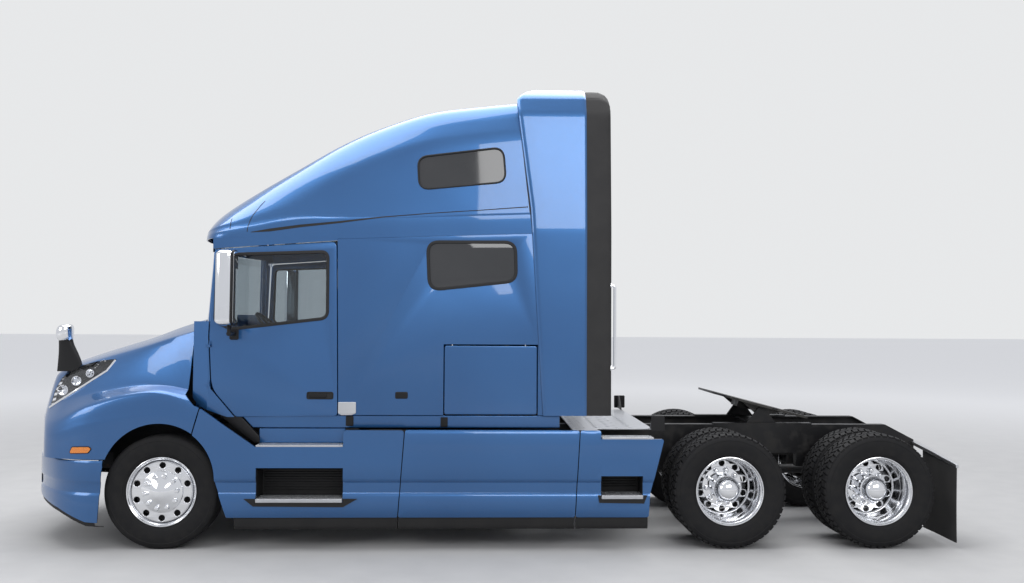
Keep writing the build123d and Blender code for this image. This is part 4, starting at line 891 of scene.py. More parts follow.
edge_shape = [(0.0, 0.010), (0.006, 0.003), (0.016, 0.0005), (0.03, 0.0)]
points = []
for y, z in hoop_line:
    start = front_of_hoop(z)
    stations = [(start + a, inset) for a, inset in edge_shape]
    stations += [(start + (HOOP_REAR - start) * share, 0.0) for share in (0.25, 0.5, 0.75)]
    stations += [(HOOP_REAR - a, inset) for a, inset in reversed(edge_shape)]
    points += [inset_at(station, y, z, inset) for station, inset in stations]
hoop = solid(mesh_of("hoop", points, grid_faces(len(hoop_line), len(stations))), 0.018, 1.0)
finished("hoop_skin", hoop, PAINT, replaces="rear_hoop")

# Bumper: one bent sheet whose lower edge slopes up to the front
half_plan = [(-1.335 + 0.045 * (y / 0.55) ** 2, y) for y in (0.55 * step / 10 for step in range(11))]
corner_plan = [(-1.335, 0.38), (-1.290, 0.55), (-1.212, 0.72), (-1.085, 0.90), (-0.93, 1.06), (-0.77, 1.160),
               (-0.62, 1.206), (-0.48, 1.215)]
half_plan += [tuple(spot) for spot in smooth_rows(corner_plan, 6)[7:-1]] + [corner_plan[-1]]
plan = [(s, -y) for s, y in reversed(half_plan[1:])] + half_plan
bumper_rows = [(0.764, 0.014), (0.760, 0.006), (0.750, 0.001), (0.735, 0.0), (0.60, 0.0), (0.585, 0.003),
               (0.57, 0.010), (0.49, 0.012), (0.475, 0.004), (0.46, 0.0), (0.30, 0.0), (0.20, 0.0)]
points = []
for z, inset in bumper_rows:
    for index, (s, y) in enumerate(plan):
        way = Vector(plan[min(index + 1, len(plan) - 1)]) - Vector(plan[max(index - 1, 0)])
        way.normalize()
        inward = Vector((way.y, -way.x))
        if inward.x < 0 and abs(inward.y) < 0.5 or inward.y * y > 0:
            inward = -inward
        points.append(at(s + inward.x * inset, y + inward.y * inset, z))
wrap = solid(mesh_of("bumper", points, grid_faces(len(bumper_rows), len(plan))), 0.012, 0.0)
bumper_side = [(-1.36, 0.77), (-1.36, 0.470), (-1.335, 0.470), (-1.180, 0.400), (-0.900, 0.345), (-0.620, 0.245),
               (-0.470, 0.236), (-0.470, 0.77)]
wrap = carved(wrap, [across(bumper_side)], "INTERSECT")
notch = brick((-1.5, -1.2), (-0.43, 0.43), (0.53, 0.80))
lower_mouth = carved(wrap, [brick((-1.5, -1.2), (-0.424, 0.424), (0.622, 0.762))], "INTERSECT")
wrap = carved(wrap, [across(arch_outline), notch])
finished("bumper_skin", wrap, PAINT, sharp=30.0, replaces="bumper")
lip_edge = [(-1.340, 0.470), (-1.180, 0.400), (-0.900, 0.345), (-0.620, 0.245), (-0.520, 0.239)]
lips = []
for _, side in SIDES:
    line = []
    for s, y in plan:
        if side * y < 0.0 or s > -0.52:
            continue
        for (s0, z0), (s1, z1) in zip(lip_edge, lip_edge[1:]):
            if s0 <= s < s1:
                line.append((s, abs(y), z0 + (z1 - z0) * (s - s0) / (s1 - s0)))
    line.sort(key=lambda spot: spot[1] + spot[0])
    points = []
    for s, y, z in line:
        points += [at(s + 0.004, side * (y - 0.004), z + 0.01), at(s + 0.006, side * (y - 0.006), z - 0.035),
                   at(s + 0.06, side * (y - 0.06), z - 0.050)]
    lips.append(solid(mesh_of("lip", points, grid_faces(len(line), 3)), 0.006, -1.0))
finished("bumper_lips", joined(*lips), BLACK)
louvres = [lower_mouth]
for row in range(4):
    z = 0.645 + row * 0.031
    louvres.append(tube([at(-1.326 + 0.04 * (y / 0.6) ** 2, y, z) for y in (-0.42 + 0.021 * i for i in range(41))],
                        0.009, 6))
arms = []
for _, side in SIDES:
    arm = rounded([(-1.296, 0.90), (-1.296, 0.815), (-1.288, 0.815), (-1.288, 0.770), (-1.308, 0.760),
                   (-1.308, 0.632), (-1.294, 0.545), (-1.256, 0.545), (-1.240, 0.90)], 0.008, 3)
    arms.append(side_sheet([arm, circle(-1.275, 0.560, 0.0122, 24)], 0.375, 0.030, 0.003, side))
    boss = [(-0.015, 0.0122), (-0.015, 0.021), (0.015, 0.021), (0.015, 0.0122)]
    arms.append(turned(boss, -1.275, 0.360, 0.560, side, 32))
finished("lower_grille", joined(*louvres, *arms), BLACK, "tilting_bonnet", replaces="grille")
screen_bars = [tube([at(-1.230, -0.378, z), at(-1.230, 0.378, z)], 0.005, 6)
               for z in (0.51 + 0.02 * i for i in range(9))]
screen_bars += [tube([at(-1.230, y, 0.502), at(-1.230, y, 0.688)], 0.005, 6)
                for y in (-0.36 + 0.03 * i for i in range(25))]
for z in (0.503, 0.687):
    screen_bars.append(tube([at(-1.230, -0.379, z), at(-1.230, 0.379, z)], 0.006, 6))
finished("intake_screen", joined(*screen_bars), BLACK, replaces="bumper_grille")

# Side fairings: sculpted panels with two long creases
fairing_profile = [(1.031, 1.192), (1.028, 1.202), (1.018, 1.210), (0.995, 1.2145), (0.90, 1.218), (0.76, 1.220),
                   (0.622, 1.2195), (0.606, 1.216), (0.596, 1.207), (0.588, 1.203), (0.50, 1.202), (0.486, 1.204),
                   (0.476, 1.213), (0.462, 1.2185), (0.36, 1.217), (0.30, 1.210), (0.283, 1.200)]
front_profile = [(1.25, 1.2195), (1.10, 1.2195)] + [(z, y) for z, y in fairing_profile if z < 0.8]
front_loop = rounded([(0.342, 1.213), (0.283, 1.0), (0.283, 0.283), (2.032, 0.283), (2.086, 1.031), (1.566, 1.031),
                      (1.566, 0.888), (0.815, 0.888)], [0.01, 0.1, 0.0, 0.01, 0.03, 0.03, 0.0, 0.0])
tank_loop = rounded([(2.040, 0.283), (2.094, 1.031), (3.604, 1.031), (3.562, 0.283)], 0.02)
rear_loop = rounded([(3.570, 0.283), (3.612, 1.031), (3.790, 1.031), (3.790, 0.958), (4.340, 0.958), (4.215, 0.469),
                     (4.205, 0.283)], [0.02, 0.02, 0.02, 0.0, 0.02, 0.2, 0.02])
# Openings of the lower steps: stations and heights
step_openings = (((0.825, 1.566), (0.433, 0.708)), ((3.790, 4.154), (0.462, 0.640)))


def fairing(profile, loop, side, openings):
    """A panel bent to a profile of heights and Y, trimmed to a side view outline."""
    low, high = min(s for s, _ in loop) - 0.05, max(s for s, _ in loop) + 0.05
    steps = 12
    points = [at(low + (high - low) * step / steps, side * y, z) for z, y in profile for step in range(steps + 1)]
    mesh = solid(mesh_of("fairing", points, grid_faces(len(profile), steps + 1)), 0.022, 1.0 if side > 0 else -1.0)
    mesh = carved(mesh, [through(loop, side, 1.1, 1.3)], "INTERSECT")
    return carved(mesh, [through(arch_outline, side, 1.1, 1.3)] + openings)


panels = []
for _, side in SIDES:
    front_hole, rear_hole = [brick(stations, (side * 1.05, side * 1.3), zs) for stations, zs in step_openings]
    panels.append(fairing(front_profile, front_loop, side, [front_hole]))
    panels.append(fairing(fairing_profile, tank_loop, side, []))
    panels.append(fairing(fairing_profile, rear_loop, side, [rear_hole]))
finished("fairing_panels", joined(*panels), PAINT, sharp=30.0, replaces="side_fairings")


# Tyres
def steer_tyre(station, y_middle, z, side):
    radius, half = STEER_RADIUS, 0.138
    outer = [(0.1045, 0.287), (0.108, 0.300), (0.117, 0.312), (0.124, 0.322), (0.1245, 0.327), (0.1285, 0.331),
             (0.134, 0.355), (half, 0.390), (half, 0.418), (0.1355, 0.436), (0.1375, 0.440), (0.1365, 0.446),
             (0.131, 0.466), (0.124, 0.479), (0.116, 0.4845), (0.108, radius)]
    tread = []
    for centre in (0.082, 0.041, 0.0, -0.041, -0.082):
        tread += [(centre + 0.0055, radius), (centre + 0.003, radius - 0.014), (centre - 0.003, radius - 0.014),
                  (centre - 0.0055, radius)]
    outline = outer + tread + [(-y, r) for y, r in reversed(outer)]
    return turned(outline, station, y_middle, z, side, 120)


def drive_tyre(station, y_middle, z, side):
    """A carcass with rows of tread blocks round it."""
    radius, half = DRIVE_RADIUS, 0.138
    base = radius - 0.018
    outer = [(0.1045, 0.287), (0.108, 0.300), (0.117, 0.312), (0.124, 0.322), (0.1245, 0.327), (0.1285, 0.331),
             (0.134, 0.360), (half, 0.395), (half, 0.425), (0.1355, 0.440), (0.1375, 0.444), (0.1365, 0.450),
             (0.132, 0.466), (0.125, 0.476), (0.116, base)]
    outline = outer + [(-y, r) for y, r in reversed(outer)]
    meshes = [turned(outline, station, y_middle, z, side)]
    points, faces = [], []
    count = 52
    pitch = 2 * math.pi / count
    # Columns: inner and outer offset, turn of the block row, slant of its sides
    rows = [(0.068, 0.126, 0.0, 0.10), (0.006, 0.060, 0.5, -0.25), (-0.060, -0.006, 0.0, 0.25),
            (-0.126, -0.068, 0.5, -0.10)]
    for low, high, turn, slant in rows:
        for index in range(count):
            middle = (index + turn) * pitch
            corners = []
            for y, lean in ((low, -slant), (high, slant)):
                drop = 0.010 if abs(y) > 0.12 else 0.0
                for way in (-0.36, 0.36):
                    t = middle + (way + lean) * pitch
                    top = Vector((math.cos(t), math.sin(t)))
                    corners.append((y, top * (radius - drop), top * (base - 0.006)))
            start = len(points)
            for layer in (1, 2):
                points += [at(station + spot[layer].x, side * (y_middle + spot[0]), z + spot[layer].y)
                           for spot in corners]
            a = start
            faces += [(a, a + 1, a + 3, a + 2), (a, a + 4, a + 5, a + 1), (a + 2, a + 3, a + 7, a + 6),
                      (a, a + 2, a + 6, a + 4), (a + 1, a + 5, a + 7, a + 3), (a + 4, a + 6, a + 7, a + 5)]
    meshes.append(mesh_of("blocks", points, faces))
    return joined(*meshes)


# Wheels: rim, disc with ten round openings, nut caps, drum and bright hub cover
def rim(station, y_middle, z, side):
    half = [(0.118, 0.2985), (0.1195, 0.294), (0.116, 0.289), (0.108, 0.2855), (0.104, 0.279), (0.094, 0.272),
            (0.060, 0.268), (0.0, 0.262)]
    inner = half + [(-y, r) for y, r in reversed(half[:-1])]
    outer = [(-0.105, 0.2985), (-0.105, 0.2855), (-0.06, 0.281), (0.06, 0.281), (0.105, 0.2855), (0.105, 0.2985)]
    return turned(inner + outer, station, y_middle, z, side)


def disc(station, y_face, z, side, inner, outer, thickness, hole_circle, hole):
    loops = [circle(0, 0, outer, 96), circle(0, 0, inner, 64)]
    for index in range(10):
        t = 2 * math.pi * (index + 0.5) / 10
        loops.append(circle(hole_circle * math.cos(t), hole_circle * math.sin(t), hole, 28))
    mesh = side_sheet(loops, y_face, thickness, 0.004, side)
    mesh.transform(Matrix.Translation((station, 0, z)))
    return mesh


def ring_of_caps(station, y, z, side, circle_radius, radius, height):
    """Ten bright nut caps with flared feet and domed ends."""
    caps = []
    outline = [(0.0, 0.0), (0.0, radius * 1.12), (0.004, radius * 1.10), (0.008, radius * 0.92),
               (height * 0.8, radius * 0.86), (height * 0.94, radius * 0.68), (height, radius * 0.32), (height, 0.0)]
    for index in range(10):
        t = 2 * math.pi * (index + 0.15) / 10
        behind, up = circle_radius * math.cos(t), circle_radius * math.sin(t)
        caps.append(turned(outline, station + behind, y, z + up, side, 20))
    return joined(*caps)


for name, side in SIDES:
    z = STEER_RADIUS
    body = name + "_front_wheel"
    finished(name + "_front_tyre", steer_tyre(0, STEER_Y, z, side), TYRE, body, sharp=30.0,
             replaces=name + "_steer_tyre")
    face = STEER_Y + 0.098
    web = [(0.060, 0.2685), (0.072, 0.2680), (0.086, 0.2660), (0.098, 0.2610), (0.098, 0.256), (0.086, 0.256),
           (0.05, 0.262)]
    bright = [rim(0, STEER_Y, z, side), disc(0, face, z, side, 0.100, 0.262, 0.016, 0.226, 0.027),
              turned(web, 0, STEER_Y, z, side)]
    finished(name + "_front_rim", joined(*bright), WHEEL, body, sharp=30.0, replaces=name + "_steer_wheel")
    drum = [(-0.092, 0.252), (-0.092, 0.188), (0.02, 0.188), (0.02, 0.05), (0.06, 0.05), (0.06, 0.205), (0.02, 0.205),
            (0.02, 0.252)]
    finished(name + "_front_drum", turned(drum, 0, STEER_Y, z, side, 64), CAST, body)
    cover = [(0.098, 0.0), (0.098, 0.178), (0.104, 0.181), (0.109, 0.178), (0.112, 0.170), (0.118, 0.155),
             (0.126, 0.130), (0.137, 0.100), (0.150, 0.072), (0.160, 0.048), (0.166, 0.024), (0.168, 0.0)]
    caps = ring_of_caps(0, STEER_Y + 0.108, z, side, 0.140, 0.023, 0.048)
    finished(name + "_front_hub_cover", joined(turned(cover, 0, STEER_Y, z, side, 64), caps), CHROME, body, sharp=30.0)
    for end, station in zip(("front", "rear"), DRIVE_STATIONS):
        z = DRIVE_RADIUS
        body = f"{end}_{name}_twin_wheels"
        twin = [drive_tyre(station, DRIVE_Y, z, side), drive_tyre(station, DRIVE_Y - DUAL_SPACING, z, side)]
        finished(f"{end}_{name}_twin_tyres", joined(*twin), TYRE, body, sharp=30.0,
                 replaces=f"{end}_{name}_drive_tyres")
        mating = DRIVE_Y - DUAL_SPACING / 2
        dish = [(mating - DRIVE_Y + 0.011, 0.236), (mating - DRIVE_Y + 0.022, 0.250), (-0.115, 0.262), (-0.07, 0.266),
                (-0.05, 0.266), (-0.05, 0.272), (-0.12, 0.272), (mating - DRIVE_Y, 0.254), (mating - DRIVE_Y, 0.236)]
        back = [(-DUAL_SPACING - y, r) for y, r in dish]
        bright = [rim(station, DRIVE_Y, z, side), rim(station, DRIVE_Y - DUAL_SPACING, z, side),
                  disc(station, mating + 0.011, z, side, 0.100, 0.240, 0.022, 0.205, 0.026),
                  turned(dish, station, DRIVE_Y, z, side), turned(back, station, DRIVE_Y, z, side)]
        finished(f"{end}_{name}_rims", joined(*bright), WHEEL, body, sharp=30.0,
                 replaces=f"{end}_{name}_drive_wheels")
        drum = [(-0.44, 0.205), (-0.44, 0.188), (-0.235, 0.188), (-0.235, 0.055), (-0.22, 0.055), (-0.22, 0.205)]
        finished(f"{end}_{name}_drum", turned(drum, station, DRIVE_Y, z, side, 64), CAST, body)
        cap = [(-0.165, 0.0), (-0.165, 0.178), (-0.158, 0.181), (-0.150, 0.178), (-0.146, 0.120), (-0.06, 0.114),
               (-0.02, 0.110), (-0.012, 0.118), (-0.004, 0.118), (0.004, 0.108), (0.030, 0.106), (0.058, 0.097),
               (0.082, 0.081), (0.100, 0.056), (0.109, 0.029), (0.112, 0.0)]
        caps = ring_of_caps(station, mating + 0.018, z, side, 0.148, 0.024, 0.050)
        finished(f"{end}_{name}_hub_cap", joined(turned(cap, station, DRIVE_Y, z, side, 64), caps), CHROME, body,
                 sharp=30.0)

# Below the cab: painted sills, kick panels over the upper steps, a black wedge under each door, and skirts
wedge = rounded([(0.470, 1.147), (0.648, 1.147), (0.822, 0.960), (0.822, 0.906), (0.775, 0.906)], 0.012, 3)
sill = rounded([(0.655, 1.146), (3.440, 1.146), (3.440, 1.036), (0.760, 1.036)], 0.01, 3)
kick = rectangle(0.818, 1.564, 0.905, 1.030, 0.008)
corner = rounded([(1.566, 1.030), (1.566, 0.912), (1.600, 0.960), (1.690, 1.030)], 0.006, 3)
sills = [both_sides([sill], 1.098, 0.050, 0.008), both_sides([kick], 1.100, 0.030, 0.004)]
finished("sill_panels", joined(*sills), PAINT, sharp=30.0)
skirt_section = [(1.205, 0.283), (1.205, 0.215), (1.200, 0.195), (1.190, 0.183), (1.180, 0.181)]
trim = [both_sides([wedge], 1.112, 0.050, 0.006), both_sides([corner], 1.108, 0.030, 0.003)]
for stations, heights in (((2.392, 2.455), (1.045, 1.130)), ((1.565, 1.632), (1.052, 1.140))):
    trim.append(both_sides([rectangle(*stations, *heights, 0.008)], 1.106, 0.020, 0.004))
trim.append(both_sides([rectangle(4.245, 4.365, 1.012, 1.150, 0.012)], 1.128, 0.008, 0.002))
for _, side in SIDES:
    for low, high in ((0.640, 2.030), (2.042, 3.560), (3.572, 4.200)):
        points = [at(s, side * y, z) for s in (low, low + 0.01, high - 0.01, high) for y, z in skirt_section]
        trim.append(solid(mesh_of("skirt", points, grid_faces(4, 5)), 0.008, 0.0))
        trim.append(tube([at(low + 0.01, side * 1.2055, 0.236), at(high - 0.01, side * 1.2055, 0.236)], 0.004, 6))
    brace = [(side * y, z) for y, z in rounded([(0.85, 1.012), (1.12, 1.012), (1.12, 1.150), (1.0, 1.150)], 0.012, 3)]
    trim.append(front_sheet([brace], 4.286, 0.012, 0.003))
finished("black_trim", joined(*trim), BLACK, replaces="black_panels")

# Lower step recesses: a dark box with louvres behind each lower step
boxes = []
for _, side in SIDES:
    for (s0, s1), (z0, z1) in step_openings:
        corners = [(s0, z0), (s1, z0), (s1, z1), (s0, z1)]
        points = [at(s, side * y, z) for y in (1.214, 1.196, 0.992) for s, z in corners]
        boxes.append(solid(mesh_of("box", points, grid_faces(3, 4, True) + [(8, 9, 10, 11)]), 0.006, 1.0))
        count = int((z1 - z0 - 0.06) / 0.022)
        for row in range(count):
            z = z0 + 0.05 + row * 0.022
            boxes.append(tube([at(s0 + 0.02, side * 1.0, z), at(s1 - 0.02, side * 1.0, z)], 0.006, 6))
finished("step_recesses", joined(*boxes), BLACK, replaces="step_boxes")


# Step treads: corrugated bright planks with a black bracket under each lower one
def tread(low, high, z, depth, side):
    """A plank whose top has rows of teeth, with slots between them and a plain nose."""
    pitch = 0.0235
    count = int((high - low - 0.02) / pitch)
    start = low + (high - low - count * pitch) / 2
    outline = [(low, z), (high, z), (high, z + 0.012)]
    for index in range(count, 0, -1):
        end = start + index * pitch
        outline += [(end, z + 0.0095), (end - 0.006, z + 0.015), (end - pitch + 0.006, z + 0.015),
                    (end - pitch, z + 0.0095)]
    outline.append((low, z + 0.012))
    plank = side_sheet([outline], BODY_Y + 0.004, depth, 0.0, side)
    reach = BODY_Y + (0.040 if z < 0.6 else 0.016)
    nose = side_sheet([rectangle(low, high, z - 0.016, z + 0.015, 0.004)], reach, 0.038, 0.003, side)
    dots = []
    for index in range(count):
        dots.append(turned([(0.0, 0.0), (0.0, 0.005), (0.003, 0.004), (0.003, 0.0)], start + (index + 0.5) * pitch,
                           reach - 0.001, z, side, 8))
    return [plank, nose] + dots


planks, brackets = [], []
tread_rows = ((0.820, 1.562, 0.888, 0.180), (0.828, 1.562, 0.433, 0.160), (3.800, 4.250, 0.958, 0.150),
              (3.793, 4.151, 0.462, 0.160))
for _, side in SIDES:
    for low, high, z, depth in tread_rows:
        planks += tread(low, high, z, depth, side)
        if z < 0.6:
            grow = 0.10 if low < 2 else 0.03
            shape = [(low - grow, z + 0.014), (low - 0.02, z - 0.050), (high + 0.01, z - 0.056),
                     (high + grow * 1.3, z + 0.014), (high + 0.005, z + 0.014), (high + 0.005, z - 0.017),
                     (low - 0.005, z - 0.017), (low - 0.005, z + 0.014)]
            brackets.append(side_sheet([shape], BODY_Y + 0.032, 0.040, 0.0, side))
finished("tread_planks", joined(*planks), TREAD, sharp=30.0, replaces="step_treads")
finished("tread_brackets", joined(*brackets), BLACK)

# Deck plate behind the cab, with rows of slanted slots
deck_loop = [(3.560, -1.180), (3.790, -1.180), (3.790, -0.900), (4.300, -0.900), (4.300, 0.900), (3.790, 0.900),
             (3.790, 1.180), (3.560, 1.180)]
slots = []
for row in range(24):
    y = -1.12 + row * 0.0975
    for column in range(5):
        s = 3.615 + column * 0.155 + (0.04 if row % 2 else 0.0)
        if s > 3.70 and abs(y) > 0.84 or s > 4.20:
            continue
        lean = 0.035 if (row + column) % 2 else -0.035
        slots.append([(s - 0.012, y - 0.028), (s + 0.012, y - 0.028), (s + 0.012 + lean, y + 0.028),
                      (s - 0.012 + lean, y + 0.028)])
finished("deck_slotted", top_sheet([deck_loop] + slots, 1.006, 0.012, 0.002), TREAD, sharp=30.0,
         replaces="deck_plate")

# Filler lids and the bright plates at the doors' rear corners
lid = rounded([(1.757, 0.872), (2.060, 0.872), (2.072, 1.029), (1.780, 1.029)], 0.015, 4)
plate_loop = rounded([(1.500, 1.262), (1.655, 1.262), (1.655, 1.165), (1.620, 1.148), (1.530, 1.148), (1.500, 1.165)],
                     0.006, 3)
for name, side in SIDES:
    finished(name + "_filler_lid", side_sheet([lid], BODY_Y + 0.006, 0.020, 0.006, side), PAINT, sharp=30.0)
finished("lid_seams", both_sides([grown(lid, 0.007)], BODY_Y + 0.001, 0.006, 0.001), SEAM_AND_SHADE)
finished("corner_plates", both_sides([plate_loop], CAB_Y + 0.006, 0.012, 0.003), ALUMINIUM)

# Side markers, which follow the fender's skin
marker_loop = rounded([(-0.765, 0.828), (-0.600, 0.834), (-0.574, 0.868), (-0.600, 0.882), (-0.740, 0.878)], 0.012, 4)
markers = [patch(bonnet_outlines, marker_loop, side, 0.6, 0.008, 0.008) for _, side in SIDES]
finished("side_markers", joined(*markers), AMBER, "tilting_bonnet", sharp=40.0)
rims = [patch(bonnet_outlines, grown(marker_loop, 0.007), side, 0.6, 0.003, 0.006) for _, side in SIDES]
finished("side_marker_rims", joined(*rims), SEAM_AND_SHADE, "tilting_bonnet", sharp=40.0)

# Bright strip along the seam between bonnet and bumper, and the corner lamps in the bumper
strip = []
for _, side in SIDES:
    spots = [(s, y) for s, y in plan if side * y > 0.44 and s < -0.50]
    spots.sort(key=lambda spot: abs(spot[1]) + spot[0])
    strip.append(tube([at(s + 0.004, y - side * 0.004, 0.768) for s, y in spots], 0.005, 6))
finished("bumper_strip", joined(*strip), CHROME)
corner_lamps = []
for _, side in SIDES:
    zone = through(rounded([(-1.345, 0.700), (-1.345, 0.520), (-1.285, 0.470), (-1.235, 0.500), (-1.250, 0.640),
                            (-1.285, 0.710)], 0.015, 3), side, 0.55, 1.0)
    points = [at(s - 0.003, y, 0.72 - 0.03 * step) for step in range(10) for s, y in plan]
    cover = solid(mesh_of("cover", points, grid_faces(10, len(plan))), 0.006, -1.0)
    corner_lamps.append(carved(cover, [zone], "INTERSECT"))
finished("corner_lamps", joined(*corner_lamps), ALUMINIUM, sharp=40.0)

# Black extenders behind the hoop, with ribs along their rear edge
EXTENDER_REAR = 3.886
stations = [(HOOP_REAR + 0.0005, 0.006), (HOOP_REAR + 0.003, 0.0), (3.740, 0.0), (3.800, 0.002), (3.850, 0.004),
            (3.872, 0.008), (EXTENDER_REAR - 0.002, 0.018)]
points = []
for y, z in hoop_line:
    for station, inset in stations:
        drop = 0.055 * max(0.0, (station - 3.80) / 0.086) ** 2 if z > 3.95 else 0.0
        points.append(inset_at(station, y, z, inset + 0.006, drop))
extenders = [solid(mesh_of("extender", points, grid_faces(len(hoop_line), len(stations))), 0.014, 1.0)]
for _, side in SIDES:
    for row in range(28):
        z = 1.20 + row * 0.088
        y = 1.122 if z < 2.78 else 1.122 - 0.066 * (z - 2.78) / 1.05
        extenders.append(brick((3.770, 3.878), (side * (y - 0.030), side * (y + 0.001)), (z, z + 0.052)))
finished("extender_skins", joined(*extenders), RUBBER, sharp=30.0, replaces="extenders")


def facing_rear(mesh, station, y, z):
    """A turned piece made about the origin's Y, set to look to the rear at a place."""
    mesh.transform(Matrix.Translation(at(station, y, z)) @ Matrix.Rotation(math.radians(-90), 4, "Z"))
    return mesh


# Grab handle and flap hangers
handles, hangers = [], []
for _, side in SIDES:
    path = rounded([(3.884, 1.564), (3.925, 1.564), (3.925, 2.293), (3.884, 2.293)], [0.0, 0.03, 0.03, 0.0])
    handles.append(tube([at(s, side * 1.110, z) for s, z in path], 0.0125, 14))
    for z in (1.564, 2.293):
        handles.append(tube([at(3.886, side * 1.110, z), at(3.894, side * 1.110, z)], 0.026, 16))
    arm = [at(6.905, side * 0.400, 0.846), at(6.955, side * 0.400, 0.846), at(6.957, side * 0.760, 0.800),
           at(6.957, side * 1.205, 0.738), at(6.932, side * 1.205, 0.738), at(6.920, side * 0.760, 0.800)]
    faces = [(0, 1, 2, 5), (5, 2, 3, 4), (6, 11, 8, 7), (11, 10, 9, 8)]
    faces += [(i, i + 6, (i + 1) % 6 + 6, (i + 1) % 6) for i in range(6)]
    beam = mesh_of("arm", arm + [point - Vector((0, 0, 0.034)) for point in arm], faces)
    hangers.append(changed(beam, ("BEVEL", {"width": 0.004, "segments": 2})))
    for y in (0.66, 0.80, 0.94, 1.08, 1.17):
        z = 0.800 - (y - 0.76) * 0.139 if y > 0.76 else 0.846 - (y - 0.40) * 0.128
        nut = [(0.0, 0.0), (0.0, 0.011), (0.012, 0.009), (0.012, 0.0)]
        handles.append(facing_rear(turned(nut, -FRONT_AXLE_X, 0.0, 0.0, 1, 8), 6.944, side * y, z - 0.050))
finished("bright_fittings", joined(*handles), CHROME, replaces="bright_bars")
finished("flap_hangers", joined(*hangers), ALUMINIUM)
FLAP_ROWS, FLAP_COLUMNS = 14, 11
flaps = []
for _, side in SIDES:
    points = []
    for row in range(FLAP_ROWS + 1):
        down = row / FLAP_ROWS
        for column in range(FLAP_COLUMNS):
            y = 0.590 + 0.061 * column
            top = 0.803 - (y - 0.590) * 0.138
            sway = 0.006 * math.sin(down * 2.2) * math.sin(column * 0.5)
            points.append(at(6.940 + sway - 0.004 * down, side * y, top + (0.051 - top) * down))
    flap = solid(mesh_of("flap", points, grid_faces(FLAP_ROWS + 1, FLAP_COLUMNS)), 0.009, 0.0)
    flaps.append(changed(flap, ("BEVEL", {"width": 0.002, "segments": 2})))
finished("flap_sheets", joined(*flaps), RUBBER, replaces="mud_flaps")

# Tail lamps in two round holders on each side
lamp_meshes, holders = [], []
for _, side in SIDES:
    for y in (0.275, 0.345):
        ring = [(0.0, 0.030), (0.014, 0.028), (0.014, 0.026), (0.010, 0.0), (0.0, 0.0)]
        lamp_meshes.append(facing_rear(turned(ring, -FRONT_AXLE_X, 0.0, 0.0, 1, 24), 6.920, side * y, 0.775))
    plate_loop = [(side * y, z) for y, z in rectangle(0.240, 0.380, 0.745, 0.805, 0.01)]
    holders.append(front_sheet([plate_loop], 6.922, 0.005, 0.001))
finished("tail_lenses", joined(*lamp_meshes), RED, replaces="tail_lamps")
finished("tail_holders", joined(*holders), BLACK)

# Bonnet mirror: a wide black stalk and a chrome head
MIRROR_Y = -0.745


def oval_post(name, rows, count, y_power):
    """A closed post of oval rings, each of heights and a function that turns an angle into a station and a Y."""
    points = []
    for ring, z, half in rows:
        for step in range(count):
            t = 2 * math.pi * step / count
            y = MIRROR_Y + half * math.copysign(abs(math.sin(t)) ** y_power, math.sin(t))
            points.append(at(ring(math.cos(t)), y, z))
    faces = grid_faces(len(rows), count, True)
    return mesh_of(name, points, faces + [tuple(range(count)), tuple(range(len(points) - count, len(points)))])


stalk_rows = [(-1.092, -0.860, 1.50, 0.018), (-1.086, -0.872, 1.58, 0.020), (-1.080, -0.905, 1.66, 0.024),
              (-1.078, -0.945, 1.74, 0.030), (-1.080, -0.960, 1.79, 0.034)]
rows = []
for front, rear, z, half in smooth_rows(stalk_rows, 4):
    middle, reach = (front + rear) / 2, (rear - front) / 2
    rows.append((lambda c, m=middle, r=reach: m + r * math.copysign(abs(c) ** 0.7, c), z, half))
stalk = carved(oval_post("stalk", rows, 20, 0.7), [bonnet_body])
finished("bonnet_mirror_stalk", stalk, BLACK, "tilting_bonnet", sharp=40.0, replaces="bonnet_mirror")
head_rows = [(-1.020, 0.060, 1.780, 0.052), (-1.022, 0.070, 1.800, 0.072), (-1.024, 0.074, 1.840, 0.082),
             (-1.022, 0.072, 1.880, 0.082), (-1.016, 0.060, 1.910, 0.070), (-1.010, 0.036, 1.924, 0.040)]
rows = [(lambda c, m=middle, r=reach: m + r * c * (1.0 if c < 0 else 0.86), z, half)
        for middle, reach, z, half in smooth_rows(head_rows, 3)]
finished("bonnet_mirror_head", oval_post("head", rows, 24, 0.8), CHROME, "tilting_bonnet", sharp=50.0)

# Painted shade: dark strips behind the slanted gaps between the side panels, for the shadow inside the gaps
gap_shades = []
for top, bottom in ((2.090, 2.036), (3.608, 3.566)):
    strip = [(top - 0.05, 1.030), (top + 0.05, 1.030), (bottom + 0.05, 0.290), (bottom - 0.05, 0.290)]
    gap_shades.append(both_sides([strip], 1.196, 0.006, 0.001))
finished("gap_shade_strips", joined(*gap_shades), SEAM_AND_SHADE)


def ribbon(line, widths):
    """The closed outline of a line with a width at each point."""
    upper, lower = [], []
    for index, (s, z) in enumerate(line):
        back, ahead = line[max(index - 1, 0)], line[min(index + 1, len(line) - 1)]
        way = (Vector(ahead) - Vector(back)).normalized()
        upper.append((s - way.y * widths[index] / 2, z + way.x * widths[index] / 2))
        lower.append((s + way.y * widths[index] / 2, z - way.x * widths[index] / 2))
    return lower + upper[::-1]
